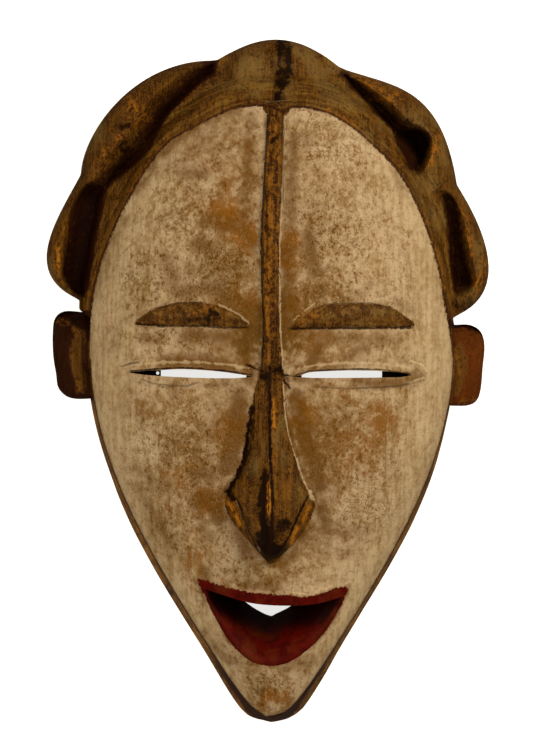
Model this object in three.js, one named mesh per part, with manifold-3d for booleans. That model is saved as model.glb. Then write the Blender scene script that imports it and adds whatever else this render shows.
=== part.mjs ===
// A carved wooden face mask lying on its back rim: the face looks up along +Z, the crown points to +Y and
// the viewer's right is +X. Millimetres. The origin is at the middle of the outline, on the rim's plane.
import * as THREE from 'three';
import { mergeVertices } from 'three/addons/utils/BufferGeometryUtils.js';
import Module from 'manifold-3d';

const wasm = await Module();
wasm.setup();

// The head without its coiffure: half width at the cheekbones and the reach to the hair and to the chin.
const cheekY = 15.5;
const headHalfWidth = 91;
const headUp = 139;
const headDown = 183.5;
// The jaw's outline narrows like a cosine, with this much blunting at the chin.
const chinBlunting = 0.4;
// The side walls: where they meet the front, and how far they spread on the way back to the rim.
const wallHeight = 40;
const wallSpreadAtCheek = 1;
const wallSpreadAtChin = 6;
const chinReachBack = 2.5;
// The front: height of its highest line above the wall, and the fall of that line to hair and chin.
const frontRise = 51;
const frontFallUp = [2.4, 0.6];
const frontFallDown = [1.3, 0.5];
const frontRoundness = 2.2;
// The face's middle line stands right of the outline's middle and leans further right towards the crown.
const leanAtChin = 2.2;
const leanGain = 2.8;
const leanStartY = 20;
const leanLength = 150;
// The hollow for the wearer's face.
const hollowHalfWidth = 71;
const hollowUp = 108;
const hollowDown = 135;
const hollowY = 15.5;
const frontThickness = 14;
const hollowSquareness = 4;
const hollowBelowRim = 10;
// The coiffure: a lobed slab behind the head, its edges rounded over, which dips between two lobes.
const coiffureTop = 48;
const coiffureUnder = 8;
const coiffureRound = 14;
const coiffureRoundDepth = 16;
const notchDip = 8;
const notchReach = 16;
// Five lobes, each from one notch to the next, with the two handles that bulge it.
const lobes = [
  { to: [94.7, 98.1], handles: [[125.3, 47.1], [103.1, 84.3]] },
  { to: [35.6, 156.8], handles: [[86.6, 150.2], [61.6, 146.6]] },
  { to: [-25.1, 160.1], handles: [[12.1, 176.7], [-5.7, 172.4]] },
  { to: [-93.3, 103.2], handles: [[-67.9, 161.2], [-92.7, 122.5]] },
  { to: [-93.9, 40.5], handles: [[-105.2, 80.4], [-124.5, 53.6]] },
];
const coiffureStart = [95.6, 33.1];
const coiffureInset = 40;
// Valleys between the hair band and the side lobes: three places each, half width and floor height.
const valleys = [
  { way: [[-30, 152], [-47, 140], [-62, 122], [-78, 100]], half: 6.5, floor: 24 },
  { way: [[-86.5, 93], [-91, 80], [-94, 66], [-93.5, 47]], half: 7, floor: 20 },
  { way: [[39, 150], [52, 139], [64, 124], [74, 108]], half: 6.5, floor: 22 },
  { way: [[90, 88], [92.5, 76], [95, 60], [96, 44]], half: 6.5, floor: 20 },
];
const valleyDepth = 40;
// The crest ridge down the forehead, a little rounded on top.
const ridgeWidth = 7.2;
const ridgeRise = 4.5;
const ridgeCrown = 1.1;
const ridgeTopY = 140;
const ridgeBottomY = 0;
const ridgeSteps = 24;
// The long keeled nose widens from its root to its wings and then narrows to its tip.
const noseTopY = 8;
const noseTipY = -89.5;
const noseRise = 27;
const noseRiseCurve = 1.3;
const noseHighestAt = 0.8;
const noseTipShare = 0.1;
const noseTipLift = 0.15;
const noseWingsAt = 0.68;
const noseHalfTop = 5;
const noseHalfWings = 21.5;
const noseWidening = 2.2;
const noseNarrowing = 0.8;
// Half-moon brows: lower edge, both ends and the height of their arch.
const browRise = 2.6;
const browArchCurve = 2.4;
const browFullness = 0.7;
const brows = [
  { left: -66, right: -9, baseY: 28, arch: 11.5 },
  { left: 10, right: 72, baseY: 27, arch: 11.5 },
];
// The eye slits: the cut is blind at its outer end and goes through nearer the nose.
const slitHalfHeight = 2;
const slitBlindDepth = 8;
const slits = [
  { y: 4, blind: [-68.5, -7], through: [-53.5, -10.5] },
  { y: 3.2, blind: [15, 71.5], through: [17, 57] },
];
// The smiling mouth: its red lips stand a little proud, round an opening with a sagging upper edge.
const lipOutline = { left: [-34.4, -99.5], right: [40.5, -103.8], bottom: [4, -142.3], sagY: -109.2 };
const mouthOutline = { left: [-30, -105.5], right: [37.4, -107.7], bottom: [4, -140.6], sagY: -113.5 };
const mouthFlank = 4.5;
const mouthCornerDrop = 17;
const mouthFullness = 19;
const mouthSagReach = 0.27;
const lipRise = 1.6;
// The mouth is a scoop: its floor falls from the lower lip to a narrow throat, open to the hollow.
const throatX = 1;
const throatTopY = -104;
const throatFloorY = -118.3;
const throatVee = 0.15;
const throatShrink = 0.42;
const throatZ = 6;
// How deep an added form is rooted in the wood below it, and how far a cut runs clear above it.
const rootDepth = 7;
const cutClearance = 20;
// The ears: slabs on the side walls, with a half-moon hollow in front.
const earBottomZ = 20;
const earTopZ = 42;
const earRound = 3;
const earHollowDepth = 7;
const earCorner = 5;
const earTaper = 2.5;
const earFoot = 8;
const ears = [
  { side: -1, root: -86, topY: 33, bottomY: -6, outX: -104.5, hollow: [-93.5, 10, 6.2, 15] },
  { side: 1, root: 88, topY: 26, bottomY: -10, outX: 105.8, hollow: [96, 8, 6, 12.5] },
];
// How finely the curved surfaces are divided.
const headSegments = 84;
const domeRings = 13;
const wallRings = 3;
const hollowSegments = 56;
const hollowRings = 9;
const shortestEdge = 0.03;

const wood = new THREE.MeshStandardMaterial({ color: 0xa5865d, roughness: 0.85, metalness: 0 });

function lean(y) {
  const up = Math.max(0, (y - leanStartY) / leanLength);
  return leanAtChin + leanGain * up * up;
}

// Half the head's width at one height; the upper part is an ellipse and the jaw a blunted cosine.
function headHalf(y) {
  if (y >= cheekY) {
    const t = Math.min(1, (y - cheekY) / headUp);
    return headHalfWidth * Math.sqrt(1 - t * t);
  }
  const t = Math.min(1, (cheekY - y) / headDown);
  const narrowing = Math.cos((Math.PI * t) / 2) ** 2;
  return headHalfWidth * Math.sqrt(narrowing + chinBlunting * (1 - t) * t ** 4);
}

// Height of the front's highest line.
function frontLine(y) {
  const up = y >= cheekY;
  const t = Math.min(1, Math.abs(y - cheekY) / (up ? headUp : headDown));
  const [power, root] = up ? frontFallUp : frontFallDown;
  return wallHeight + frontRise * (1 - t ** power) ** root;
}

// Height of the front anywhere inside the head's outline.
function frontHeight(x, y) {
  const half = headHalf(y);
  const s = half > 0 ? Math.min(1, Math.abs(x - lean(y)) / half) : 1;
  const arch = (1 - s ** frontRoundness) ** (1 / frontRoundness);
  return wallHeight + (frontLine(y) - wallHeight) * arch;
}

// A geometry made a solid: shared vertices merged, collapsed triangles dropped, and each vertex moved.
function solid(geometry, move) {
  geometry.deleteAttribute('normal');
  geometry.deleteAttribute('uv');
  const merged = mergeVertices(geometry);
  const position = merged.attributes.position;
  const index = merged.index.array;
  const triangles = [];
  for (let i = 0; i < index.length; i += 3) {
    const [a, b, c] = [index[i], index[i + 1], index[i + 2]];
    if (a !== b && b !== c && c !== a) triangles.push(a, b, c);
  }
  const point = new THREE.Vector3();
  for (let i = 0; move && i < position.count; i++) {
    move(point.fromBufferAttribute(position, i));
    position.setXYZ(i, point.x, point.y, point.z);
  }
  const triVerts = new Uint32Array(triangles);
  const vertProperties = new Float32Array(position.array);
  return new wasm.Manifold(new wasm.Mesh({ numProp: 3, vertProperties, triVerts }));
}

// A unit form turned about Z: a half ball above, then rings of wall down to -1 and a flat end.
function bowlForm(segments, rings, walls) {
  const profile = [new THREE.Vector2(0, -1)];
  for (let i = walls; i > 0; i--) profile.push(new THREE.Vector2(1, -i / walls));
  for (let i = rings; i >= 0; i--) {
    const angle = (Math.PI / 2) * (i / rings);
    profile.push(new THREE.Vector2(i === 0 ? 0 : Math.sin(angle), Math.cos(angle)));
  }
  return new THREE.LatheGeometry(profile, segments).rotateX(Math.PI / 2);
}

// The share of a row's half width at which a point of the unit disc lies.
function rowShare(x, y) {
  const row = Math.sqrt(Math.max(0, 1 - y * y));
  return row > 1e-6 ? THREE.MathUtils.clamp(x / row, -1, 1) : 0;
}

function makeHead() {
  return solid(bowlForm(headSegments, domeRings, wallRings), (p) => {
    const share = rowShare(p.x, p.y);
    const down = Math.max(0, -p.y);
    const back = Math.max(0, -p.z);
    const y = cheekY + p.y * (p.y > 0 ? headUp : headDown);
    const spread = wallSpreadAtCheek + (wallSpreadAtChin - wallSpreadAtCheek) * down * down;
    const x = lean(y) + share * (headHalf(y) + spread * back);
    const z = p.z < 0 ? wallHeight * (1 - back) : frontHeight(x, y);
    p.set(x, y - chinReachBack * back * down ** 4, z);
  });
}

// The hollow is open behind: its wall rings run below the rim's plane.
function makeHollow() {
  return solid(bowlForm(hollowSegments, hollowRings, 1), (p) => {
    const share = rowShare(p.x, p.y);
    const y = hollowY + p.y * (p.y > 0 ? hollowUp : hollowDown);
    const half = hollowHalfWidth * Math.sqrt(1 - Math.min(1, Math.abs(p.y)) ** 2);
    const radius = Math.min(1, Math.hypot(p.x, p.y));
    const arch = (1 - radius ** hollowSquareness) ** (1 / hollowSquareness);
    const top = frontLine(y) - frontThickness;
    p.set(lean(y) + share * half, y, p.z < 0 ? -hollowBelowRim : top * arch);
  });
}

function makeCoiffure() {
  const shape = new THREE.Shape();
  shape.moveTo(...coiffureStart);
  for (const lobe of lobes) shape.bezierCurveTo(...lobe.handles[0], ...lobe.handles[1], ...lobe.to);
  shape.lineTo(-coiffureInset, coiffureStart[1]);
  shape.lineTo(coiffureInset, coiffureStart[1]);
  const slab = new THREE.ExtrudeGeometry(shape, {
    depth: coiffureTop + coiffureUnder - 2 * coiffureRoundDepth,
    curveSegments: 9,
    bevelThickness: coiffureRoundDepth,
    bevelSize: coiffureRound,
    bevelOffset: -coiffureRound,
    bevelSegments: 4,
  }).translate(0, 0, coiffureRoundDepth - coiffureUnder);
  const notches = lobes.slice(0, -1).map((lobe) => lobe.to);
  return solid(slab, (p) => {
    const near = Math.min(...notches.map(([x, y]) => Math.hypot(p.x - x, p.y - y)));
    const raised = Math.max(0, p.z / coiffureTop);
    p.z -= notchDip * raised * Math.exp(-((near / notchReach) ** 2));
  });
}

// A valley is an upright oval swept along its way; its lower end is the valley's floor.
function makeValley({ way, half, floor }) {
  const points = way.map(([x, y]) => new THREE.Vector3(x, y, floor + valleyDepth));
  const section = new THREE.Shape();
  section.absellipse(0, 0, valleyDepth, half, 0, 2 * Math.PI);
  const sweep = new THREE.ExtrudeGeometry(section, {
    extrudePath: new THREE.CatmullRomCurve3(points),
    steps: 9,
    curveSegments: 10,
  });
  return solid(sweep);
}

function makeRidge() {
  const length = ridgeTopY - ridgeBottomY;
  const bar = new THREE.BoxGeometry(ridgeWidth, length, 1, 2, ridgeSteps, 1);
  return solid(bar.translate(0, (ridgeTopY + ridgeBottomY) / 2, 0), (p) => {
    const side = Math.abs(p.x) / (ridgeWidth / 2);
    const rise = p.z > 0 ? ridgeRise - ridgeCrown * side * side : -rootDepth;
    p.set(p.x + lean(p.y), p.y, frontHeight(lean(p.y), p.y) + rise);
  });
}

// Half the nose's width, from its root (0) to its tip (1).
function noseHalf(t) {
  if (t < noseWingsAt) {
    return noseHalfTop + (noseHalfWings - noseHalfTop) * (t / noseWingsAt) ** noseWidening;
  }
  return noseHalfWings * ((1 - t) / (1 - noseWingsAt)) ** noseNarrowing;
}

// How high the nose's keel stands over the front.
function keelRise(t) {
  const swell = Math.min(t / noseHighestAt, 1) ** noseRiseCurve;
  return noseRise * swell * Math.min(1, (1 - t) / noseTipShare + noseTipLift);
}

function makeNose() {
  const ball = new THREE.SphereGeometry(1, 20, 22).rotateX(Math.PI);
  return solid(ball, (p) => {
    const t = (1 - p.y) / 2;
    const y = THREE.MathUtils.lerp(noseTopY, noseTipY, t);
    const radius = Math.hypot(p.x, p.z);
    const across = radius > 1e-6 ? p.x / radius : 0;
    const x = lean(y) + across * noseHalf(t);
    const fold = radius > 1e-6 ? 1 - Math.abs(across) : 0;
    p.set(x, y, frontHeight(x, y) + fold * (p.z > 0 ? keelRise(t) : -rootDepth) - 1);
  });
}

function makeBrow({ left, right, baseY, arch }) {
  const ball = new THREE.SphereGeometry(1, 10, 18).rotateZ(Math.PI / 2);
  return solid(ball, (p) => {
    const x = THREE.MathUtils.lerp(left, right, (p.x + 1) / 2);
    const bow = arch * (1 - Math.abs(p.x) ** browArchCurve);
    const y = baseY + (bow * (1 + rowShare(p.y, p.x))) / 2;
    p.set(x, y, frontHeight(x, y) + browRise * Math.sign(p.z) * Math.abs(p.z) ** browFullness);
  });
}

// A spindle with pointed ends.
function spindle([left, right], halfHeight) {
  const shape = new THREE.Shape();
  const handle = (right - left) / 4;
  const swing = (halfHeight * 4) / 3;
  shape.moveTo(left, 0);
  shape.bezierCurveTo(left + handle, -swing, right - handle, -swing, right, 0);
  shape.bezierCurveTo(right - handle, swing, left + handle, swing, left, 0);
  return shape;
}

// A flat shape extruded by one, its two ends then moved to the heights that a function gives.
function upright(shape, endZ) {
  const geometry = new THREE.ExtrudeGeometry(shape, { depth: 1, bevelEnabled: false, curveSegments: 10 });
  return solid(geometry, (p) => {
    p.z = endZ(p, p.z > 0.5);
  });
}

function makeSlit({ y, blind, through }) {
  const groove = upright(spindle(blind, slitHalfHeight), (p, top) => {
    return frontHeight(p.x, y) + (top ? cutClearance : -slitBlindDepth);
  });
  const cut = upright(spindle(through, slitHalfHeight), (p, top) => {
    return top ? frontHeight(p.x, y) + cutClearance : 0;
  });
  return groove.add(cut).translate(0, y, 0);
}

// A laughing mouth: round below, with its upper edge sagging between the corners.
function smile({ left, right, bottom, sagY }) {
  const shape = new THREE.Shape();
  const reach = (right[0] - left[0]) * mouthSagReach;
  const [lowX, lowY] = bottom;
  shape.moveTo(...left);
  const flanks = [left[0] + mouthFlank, right[0] - mouthFlank];
  shape.bezierCurveTo(flanks[0], left[1] - mouthCornerDrop, lowX - mouthFullness, lowY, lowX, lowY);
  shape.bezierCurveTo(lowX + mouthFullness, lowY, flanks[1], right[1] - mouthCornerDrop, ...right);
  shape.bezierCurveTo(right[0] - reach, sagY, left[0] + reach, sagY, ...left);
  return shape;
}

function makeLips() {
  return upright(smile(lipOutline), (p, top) => frontHeight(p.x, p.y) + (top ? lipRise : -rootDepth));
}

// The opening keeps its full size at the lips and narrows to the throat, where it meets the hollow.
function makeMouthOpening() {
  return upright(smile(mouthOutline), (p, top) => {
    if (top) return frontHeight(p.x, p.y) + cutClearance;
    const across = (p.x - throatX) * throatShrink;
    const lower = p.y < mouthOutline.sagY;
    p.y = lower ? throatFloorY + throatVee * Math.abs(across) : throatTopY;
    p.x = throatX + across;
    return throatZ;
  });
}

function makeEar({ side, root, topY, bottomY, outX, hollow }) {
  const shape = new THREE.Shape();
  shape.moveTo(root, topY);
  shape.lineTo(outX - side * earCorner, topY);
  shape.quadraticCurveTo(outX, topY, outX, topY - earCorner);
  shape.quadraticCurveTo(outX - side * earTaper, bottomY, outX - side * earFoot, bottomY);
  shape.lineTo(root, bottomY);
  const slab = new THREE.ExtrudeGeometry(shape, {
    depth: earTopZ - earBottomZ - 2 * earRound,
    curveSegments: 5,
    bevelThickness: earRound,
    bevelSize: earRound,
    bevelSegments: 2,
  }).translate(0, 0, earBottomZ + earRound);
  const [x, y, halfX, halfY] = hollow;
  const ball = new THREE.SphereGeometry(1, 14, 8).scale(halfX, halfY, earHollowDepth);
  return solid(slab).subtract(solid(ball.translate(x, y, earTopZ)));
}

function makeMask() {
  const span = 4 * headUp;
  const aboveRim = solid(new THREE.BoxGeometry(span, span, span).translate(0, 0, span / 2));
  let hair = makeCoiffure();
  for (const valley of valleys) hair = hair.subtract(makeValley(valley));
  let mask = makeHead().add(hair).add(makeRidge()).add(makeNose()).add(makeLips());
  for (const brow of brows) mask = mask.add(makeBrow(brow));
  for (const ear of ears) mask = mask.add(makeEar(ear));
  mask = mask.subtract(makeHollow()).subtract(makeMouthOpening());
  for (const slit of slits) mask = mask.subtract(makeSlit(slit));
  mask = mask.intersect(aboveRim).simplify(shortestEdge);
  const { min, max } = mask.boundingBox();
  return mask.translate(-(min[0] + max[0]) / 2, -(min[1] + max[1]) / 2, 0);
}

// A finished solid as a mesh, its vertices and triangles taken back for a BufferGeometry.
function meshOf(form, name, material) {
  const { vertProperties, triVerts } = form.getMesh();
  const geometry = new THREE.BufferGeometry();
  geometry.setAttribute('position', new THREE.BufferAttribute(vertProperties, 3));
  geometry.setIndex(new THREE.BufferAttribute(triVerts, 1));
  const mesh = new THREE.Mesh(geometry, material);
  mesh.name = name;
  return mesh;
}

const mask = new THREE.Group();
mask.add(meshOf(makeMask(), 'mask', wood));

export default mask;
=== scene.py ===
"""A carved and painted wooden face mask lying on a pale floor, seen from straight above.

Lengths in the tables are millimetres: x to the viewer's right, y from chin to crown, z out of the face.
"""
import math

import bmesh
import bpy
import numpy as np
from bpy.props import FloatProperty, FloatVectorProperty, IntProperty, PointerProperty
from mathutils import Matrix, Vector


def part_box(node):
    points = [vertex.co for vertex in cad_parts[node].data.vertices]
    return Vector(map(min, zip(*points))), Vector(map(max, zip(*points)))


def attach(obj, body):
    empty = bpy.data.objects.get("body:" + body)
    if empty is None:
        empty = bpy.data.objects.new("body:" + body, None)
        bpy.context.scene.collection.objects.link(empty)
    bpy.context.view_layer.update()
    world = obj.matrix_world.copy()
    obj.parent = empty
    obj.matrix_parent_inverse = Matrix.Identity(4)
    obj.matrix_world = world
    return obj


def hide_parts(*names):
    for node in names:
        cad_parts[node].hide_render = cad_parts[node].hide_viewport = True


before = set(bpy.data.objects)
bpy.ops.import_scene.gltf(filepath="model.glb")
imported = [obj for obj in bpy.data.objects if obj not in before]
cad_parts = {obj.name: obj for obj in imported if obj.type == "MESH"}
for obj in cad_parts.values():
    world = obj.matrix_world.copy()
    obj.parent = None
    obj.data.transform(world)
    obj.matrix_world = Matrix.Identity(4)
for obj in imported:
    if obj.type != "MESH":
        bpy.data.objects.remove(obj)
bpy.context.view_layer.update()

bl_info = {
    "name": "Carved face mask",
    "version": (1, 0, 0),
    "blender": (4, 5, 0),
    "location": "3D View > Sidebar > Mask",
    "description": "Builds a painted wooden face mask with a lobed coiffure, and a small studio round it",
    "category": "Object",
}

MM = 0.001
# The face's tables are written about the middle of its photographed outline. The frame's origin is the
# middle of the carved block, this far from it.
BLOCK_SHIFT = (-0.83, 0.06)
# A distance that is longer than any on the mask.
FAR = 99.0

# The head: its widest row, half its width there, and its reach up to the hair and down to the chin.
CHEEK_Y = 15.5
HEAD_HALF = 91
HEAD_UP = 139
HEAD_DOWN = 183.5
CHIN_BLUNTING = 0.4
# The side walls' height, and the highest line of the front above them: its rise, the roundness of the front
# on either side of it, and the two exponents of its fall to the hair and to the chin.
WALL_HEIGHT = 40
FRONT_RISE = 51
FRONT_ROUNDNESS = 2.2
FALL_UP = (2.4, 0.6)
FALL_DOWN = (1.3, 0.5)
# The middle line: its x at the chin, its gain to the right, the row where that starts and over what height.
LEAN = (2.2, 2.8, 20, 150)
# The hollow behind: its middle row, half its width, and its reach up, down and below the rim.
HOLLOW_Y = 15.5
HOLLOW_HALF = 71
HOLLOW_UP = 108
HOLLOW_DOWN = 135
HOLLOW_BELOW = 8
FRONT_THICKNESS = 14
# The adze marks in it: seed, how many, corners of their field, then each one's reach and depth.
ADZE_MARKS = (3, 210, (-75, -125), (75, 130))
ADZE_REACH = 15
ADZE_DEPTH = 1.1
HOLLOW_LIFT = 0.5

# Points along each side of the jaw, and how far below the hair's and the paint's ends the sides stop.
JAW_POINTS = 90
JAW_GAP_LEFT = 4
JAW_GAP = 1.5
HEAD_POINTS = 240
# The white paint's upper edge, from the right cheek over the forehead to the left one.
PAINT_TOP = (
    (92.3, 12), (90.6, 26), (87.6, 42), (86.4, 50.5), (83.2, 63), (79, 76.5), (73, 90.5), (66.4, 102),
    (60, 110.2), (54, 115.8), (43.5, 125.2), (33, 132), (26.5, 134.2), (18.5, 136), (11.5, 135.8),
    (8.6, 133.6), (5, 134.5), (0, 136.6), (-12, 136.4), (-21, 134), (-29.5, 129.8), (-38.5, 125.2),
    (-47.5, 120.2), (-53.3, 114.5), (-58, 108.8), (-63.5, 100.3), (-69, 90.5), (-74.5, 80), (-79, 69),
    (-82.6, 60), (-85.5, 49.5), (-87.2, 40.5), (-88.4, 28), (-89, 12),
)
PAINT_INSET = 0.6
# The hair stands over the paint by a small step with a groove at its foot: place, half width, depth.
HAIR_STEP = 0.9
PAINT_GROOVE = (-0.1, 0.45, 0.5)
# The hair band's outer edge, where it drops into the valleys, from the left ear over the crown.
BAND = (
    (-92, 33), (-90.3, 41.5), (-88, 53), (-86.5, 63), (-84.5, 73.5), (-82.8, 81.5), (-81.3, 90.5),
    (-78, 97.8), (-70, 104.5), (-63.5, 110), (-57.8, 116.8), (-52.8, 126.5), (-47.8, 134.3), (-42.2, 139.8),
    (-32.2, 149), (-26, 152.5), (-24, 161), (34.5, 161), (36, 152.5), (42.3, 145.3), (51.8, 135.5),
    (61.3, 125.5), (66.2, 115.5), (71, 105.2), (73.5, 102.8), (79.7, 100.3), (86, 92.5), (88.8, 80),
    (90, 68), (91.3, 51), (93.8, 41), (95, 30),
)
BAND_SLOPE = 0.6
BAND_DROP = 5
BAND_FALL = 2.6

# The coiffure: five lobes from notch to notch, each with the two handles that bulge it.
HAIR_START = (95.6, 33.1)
HAIR_END = (-93.9, 35.5)
LOBES = (
    ((125.3, 47.1), (103.1, 84.3), (94.7, 98.1)), ((86.6, 150.2), (61.6, 146.6), (35.6, 156.8)),
    ((12.1, 176.7), (-5.7, 172.4), (-25.1, 160.1)), ((-67.9, 161.2), (-92.7, 122.5), (-93.3, 103.2)),
    ((-105.2, 80.4), (-124.5, 53.6), (-93.9, 40.5)),
)
HAIR_TOP = 47
HAIR_EDGE = 26
HAIR_ROUND = 14
HAIR_BLEND = 1.2
NOTCH_DIP = 8
NOTCH_REACH = 16
NOTCH_CURVE = 1.5
# The knife marks on it: seed, how many, corners of their field, then each one's reach and depth.
KNIFE_MARKS = (11, 260, (-112, 30), (112, 172))
KNIFE_REACH = 10
KNIFE_DEPTH = 0.5
# Valleys beside the head: outline, height of the floor, how far the lobe's side rises, darkness of the
# painted shade and grime in it, softness.
VALLEYS = (
    (((-24.8, 158.5), (-25.5, 153), (-32, 149.3), (-42, 139.8), (-47.5, 134.3), (-52.5, 126.8),
      (-57.5, 117), (-63.5, 110.2), (-70, 104.5), (-77, 98.5), (-80, 99.5), (-72.3, 107), (-66.2, 112.6),
      (-60.8, 119.5), (-55.5, 129.5), (-50.3, 137), (-44.2, 142.8), (-34.4, 152), (-27, 158.5)), 28, 14,
     0.95, 9.5),
    (((-82, 96.5), (-82.3, 90), (-82.5, 80.5), (-84.3, 70), (-86.6, 60.2), (-88.3, 51), (-90.5, 44.5),
      (-93.5, 43.5), (-97, 46.5), (-100.6, 52), (-100.2, 60), (-99.3, 66), (-98.5, 73), (-97.2, 80.5),
      (-95, 88), (-92.5, 93.5), (-89, 96.8), (-85.5, 97.5)), 25, 6, 0.95, 3.6),
    (((36.8, 152.6), (39, 149), (47, 140.5), (57.5, 130.3), (64.5, 120.5), (68, 112), (71, 107.5),
      (73.5, 107.5), (76, 113), (77.3, 118.5), (75.5, 122), (70, 123.6), (65.5, 127.6), (59.5, 133.8),
      (49.3, 144), (43.3, 149.2), (39.3, 152.4)), 31, 8, 0.8, 5),
    (((63, 120.5), (65.5, 114), (69, 107.7), (72.5, 105.7), (75.5, 108.5), (78, 114), (79, 119.5),
      (76, 123.2), (69, 124)), 20, 5.5, 1, 4.6),
    (((87.8, 92), (89.3, 84), (90, 76), (90.5, 67), (91.2, 58), (92, 50), (94, 45), (97, 45.5),
      (100.6, 49.2), (99.4, 54), (96.8, 61), (95.6, 68.5), (94.8, 76.5), (93.8, 84), (91.2, 91)), 33, 9,
     0.85, 5),
)
# A valley's floor is dished: depth, reach. Its side is part quarter round and part soft step.
VALLEY_DISH = (3, 4)
VALLEY_SIDE = (0.55, 0.45)
VALLEY_LIP = 3
# Hand-made unevenness: seed, size of its waves, height.
FACE_WAVES = ((5, 34, 0.22), (6, 9, 0.08))
HAIR_WAVES = ((7, 16, 0.25),)
EAR_WAVES = ((9, 12, 0.3),)

# Soft steps: where each starts and where it is full. First by row, from the crown down.
RAMPS = {
    "ridge_top": (149, 142), "ridge_full": (141.5, 139.5), "face_top": (140, 132),
    "hair_wall": (HAIR_START[1] - 5, HAIR_START[1] + 3), "hair_row": (HAIR_START[1] - 6, HAIR_START[1] + 8),
    "hair_step": (CHEEK_Y - 6, CHEEK_Y + 14), "upper_face": (CHEEK_Y - 6, CHEEK_Y + 12),
    "nose_top": (8, 3), "ridge_foot": (-2, 6), "above_nose": (-4, 4), "dark_ridge": (-2, 14),
    "lower_lip": (-107, -114), "chin": (-118, -152), "chin_tip": (-156, -168), "face_foot": (-165, -158),
    # across, from the middle line
    "right": (-4, 4), "chin_left": (4, -8), "face_side": (0.93, 0.87), "face_edge": (0.35, 0.95),
    "beside_head": (0.5, -0.5),
    # by distance within an edge
    "paint_step": (0.2, -0.7), "past_paint": (0.35, -0.3), "hair_near": (-0.5, -1.5),
    "hair_far": (-19, -12), "past_head": (-8, 2), "past_band": (1.6, -1), "ridge_side": (-0.9, 0.15),
    "edge": (-0.5, 0.5),
    "brow_side": (-0.5, 1.1), "brow_top": (0, 5), "brow_paint": (-0.6, 0.8), "lid": (-2.2, 2.6),
    "lip": (-0.7, 0.7), "off_lips": (-0.4, -1), "well_off_lips": (-0.5, -1.5), "off_mouth": (0.5, -0.3),
    "under_lip": (18, 4), "ear": (-1.4, -0.4), "in_hollow": (1.3, 1.1),
    # by height, or by depth below the front
    "hollow_height": (4, 20), "ear_height": (22, 40), "above_wall": (8, 20), "cut": (0.4, 1.4),
    "wall": (0.6, 2), "throat": (0.4, 2.4), "back": (0.5, 3), "rim_turn": (0.94, 1), "smoky": (0.3, 1.2),
}


def lean(y):
    """The face's middle line, which leans right towards the crown."""
    low, gain, start, length = LEAN
    return low + gain * np.maximum(0.0, (y - start) / length) ** 2


def smooth(low, high, value):
    """A soft step from 0 at low to 1 at high."""
    t = np.clip((value - low) / (high - low), 0.0, 1.0)
    return t * t * (3.0 - 2.0 * t)


def ramp(name, value):
    """One of the named soft steps, from 0 to 1."""
    return smooth(*RAMPS[name], value)


def soft_max(a, b, width):
    """The larger of two surfaces, blended over a width where they meet."""
    h = np.clip(0.5 + 0.5 * (a - b) / width, 0.0, 1.0)
    return b + (a - b) * h + width * h * (1.0 - h)


def to_ends(y):
    """How far rows lie on the way from the cheekbones up to the hair and down to the chin, from 0 to 1."""
    return np.clip((y - CHEEK_Y) / HEAD_UP, 0.0, 1.0), np.clip((CHEEK_Y - y) / HEAD_DOWN, 0.0, 1.0)


def head_half(y):
    """Half the head's width: an ellipse above the cheekbones and a blunted cosine below."""
    up, down = to_ends(y)
    jaw = np.sqrt(np.cos(np.pi * down / 2) ** 2 + CHIN_BLUNTING * (1 - down) * down ** 4)
    return HEAD_HALF * np.where(y >= CHEEK_Y, np.sqrt(1 - up * up), jaw)


def front_line(y):
    """Height of the front's highest line."""
    up, down = to_ends(y)
    upper, lower = ((1 - t ** a) ** b for t, (a, b) in ((up, FALL_UP), (down, FALL_DOWN)))
    return WALL_HEIGHT + FRONT_RISE * np.where(y >= CHEEK_Y, upper, lower)


def dome(x, y):
    """Height of the plain rounded front inside the head's outline."""
    half = np.maximum(head_half(y), 1e-6)
    share = np.clip(np.abs(x - lean(y)) / half, 0.0, 1.0)
    arch = (1 - share ** FRONT_ROUNDNESS) ** (1 / FRONT_ROUNDNESS)
    return WALL_HEIGHT + (front_line(y) - WALL_HEIGHT) * arch


def bezier(start, handle_a, handle_b, end, count):
    """Points along one cubic curve, its start left out."""
    t = np.linspace(0, 1, count + 1)[1:, None]
    a, b, c, d = (np.array(p, float) for p in (start, handle_a, handle_b, end))
    return a * (1 - t) ** 3 + 3 * b * t * (1 - t) ** 2 + 3 * c * t * t * (1 - t) + d * t ** 3


def sides(half, y):
    """The left and right edges of something so wide about the middle line."""
    return np.column_stack([lean(y) - half, y]), np.column_stack([lean(y) + half, y])


def head_outline():
    """The head's outline, anticlockwise from the chin."""
    t = np.linspace(0, np.pi, HEAD_POINTS)
    low, high = CHEEK_Y - HEAD_DOWN, CHEEK_Y + HEAD_UP
    y = (low + high) / 2 - (high - low) / 2 * np.cos(t)
    left, right = sides(head_half(y), y)
    return np.vstack([right, left[::-1][1:-1]])


def hair_outline(count=26):
    """The coiffure's outer edge, from the right ear over the crown to the left ear."""
    points = [np.array([HAIR_START], float)]
    start = HAIR_START
    for handle_a, handle_b, end in LOBES:
        points.append(bezier(start, handle_a, handle_b, end, count))
        start = end
    return np.vstack(points)


def silhouette():
    """The mask's outline without its ears: the jaw, then the coiffure's lobes."""
    y = np.linspace(HAIR_END[1] - JAW_GAP_LEFT, CHEEK_Y - HEAD_DOWN, JAW_POINTS)
    left, _ = sides(head_half(y), y)
    y = np.linspace(CHEEK_Y - HEAD_DOWN, HAIR_START[1] - JAW_GAP, JAW_POINTS)[1:]
    _, right = sides(head_half(y), y)
    return np.vstack([hair_outline(), [HAIR_END], left, right])


def paint_outline():
    """The white paint's outline: its own edge over the forehead, just inside the head's round the jaw."""
    y = np.linspace(PAINT_TOP[-1][1] - JAW_GAP, CHEEK_Y - HEAD_DOWN + PAINT_INSET, JAW_POINTS)
    left, right = sides(head_half(y) - PAINT_INSET, y)
    return np.vstack([through(PAINT_TOP, 4), left, right[::-1][1:]])


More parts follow.
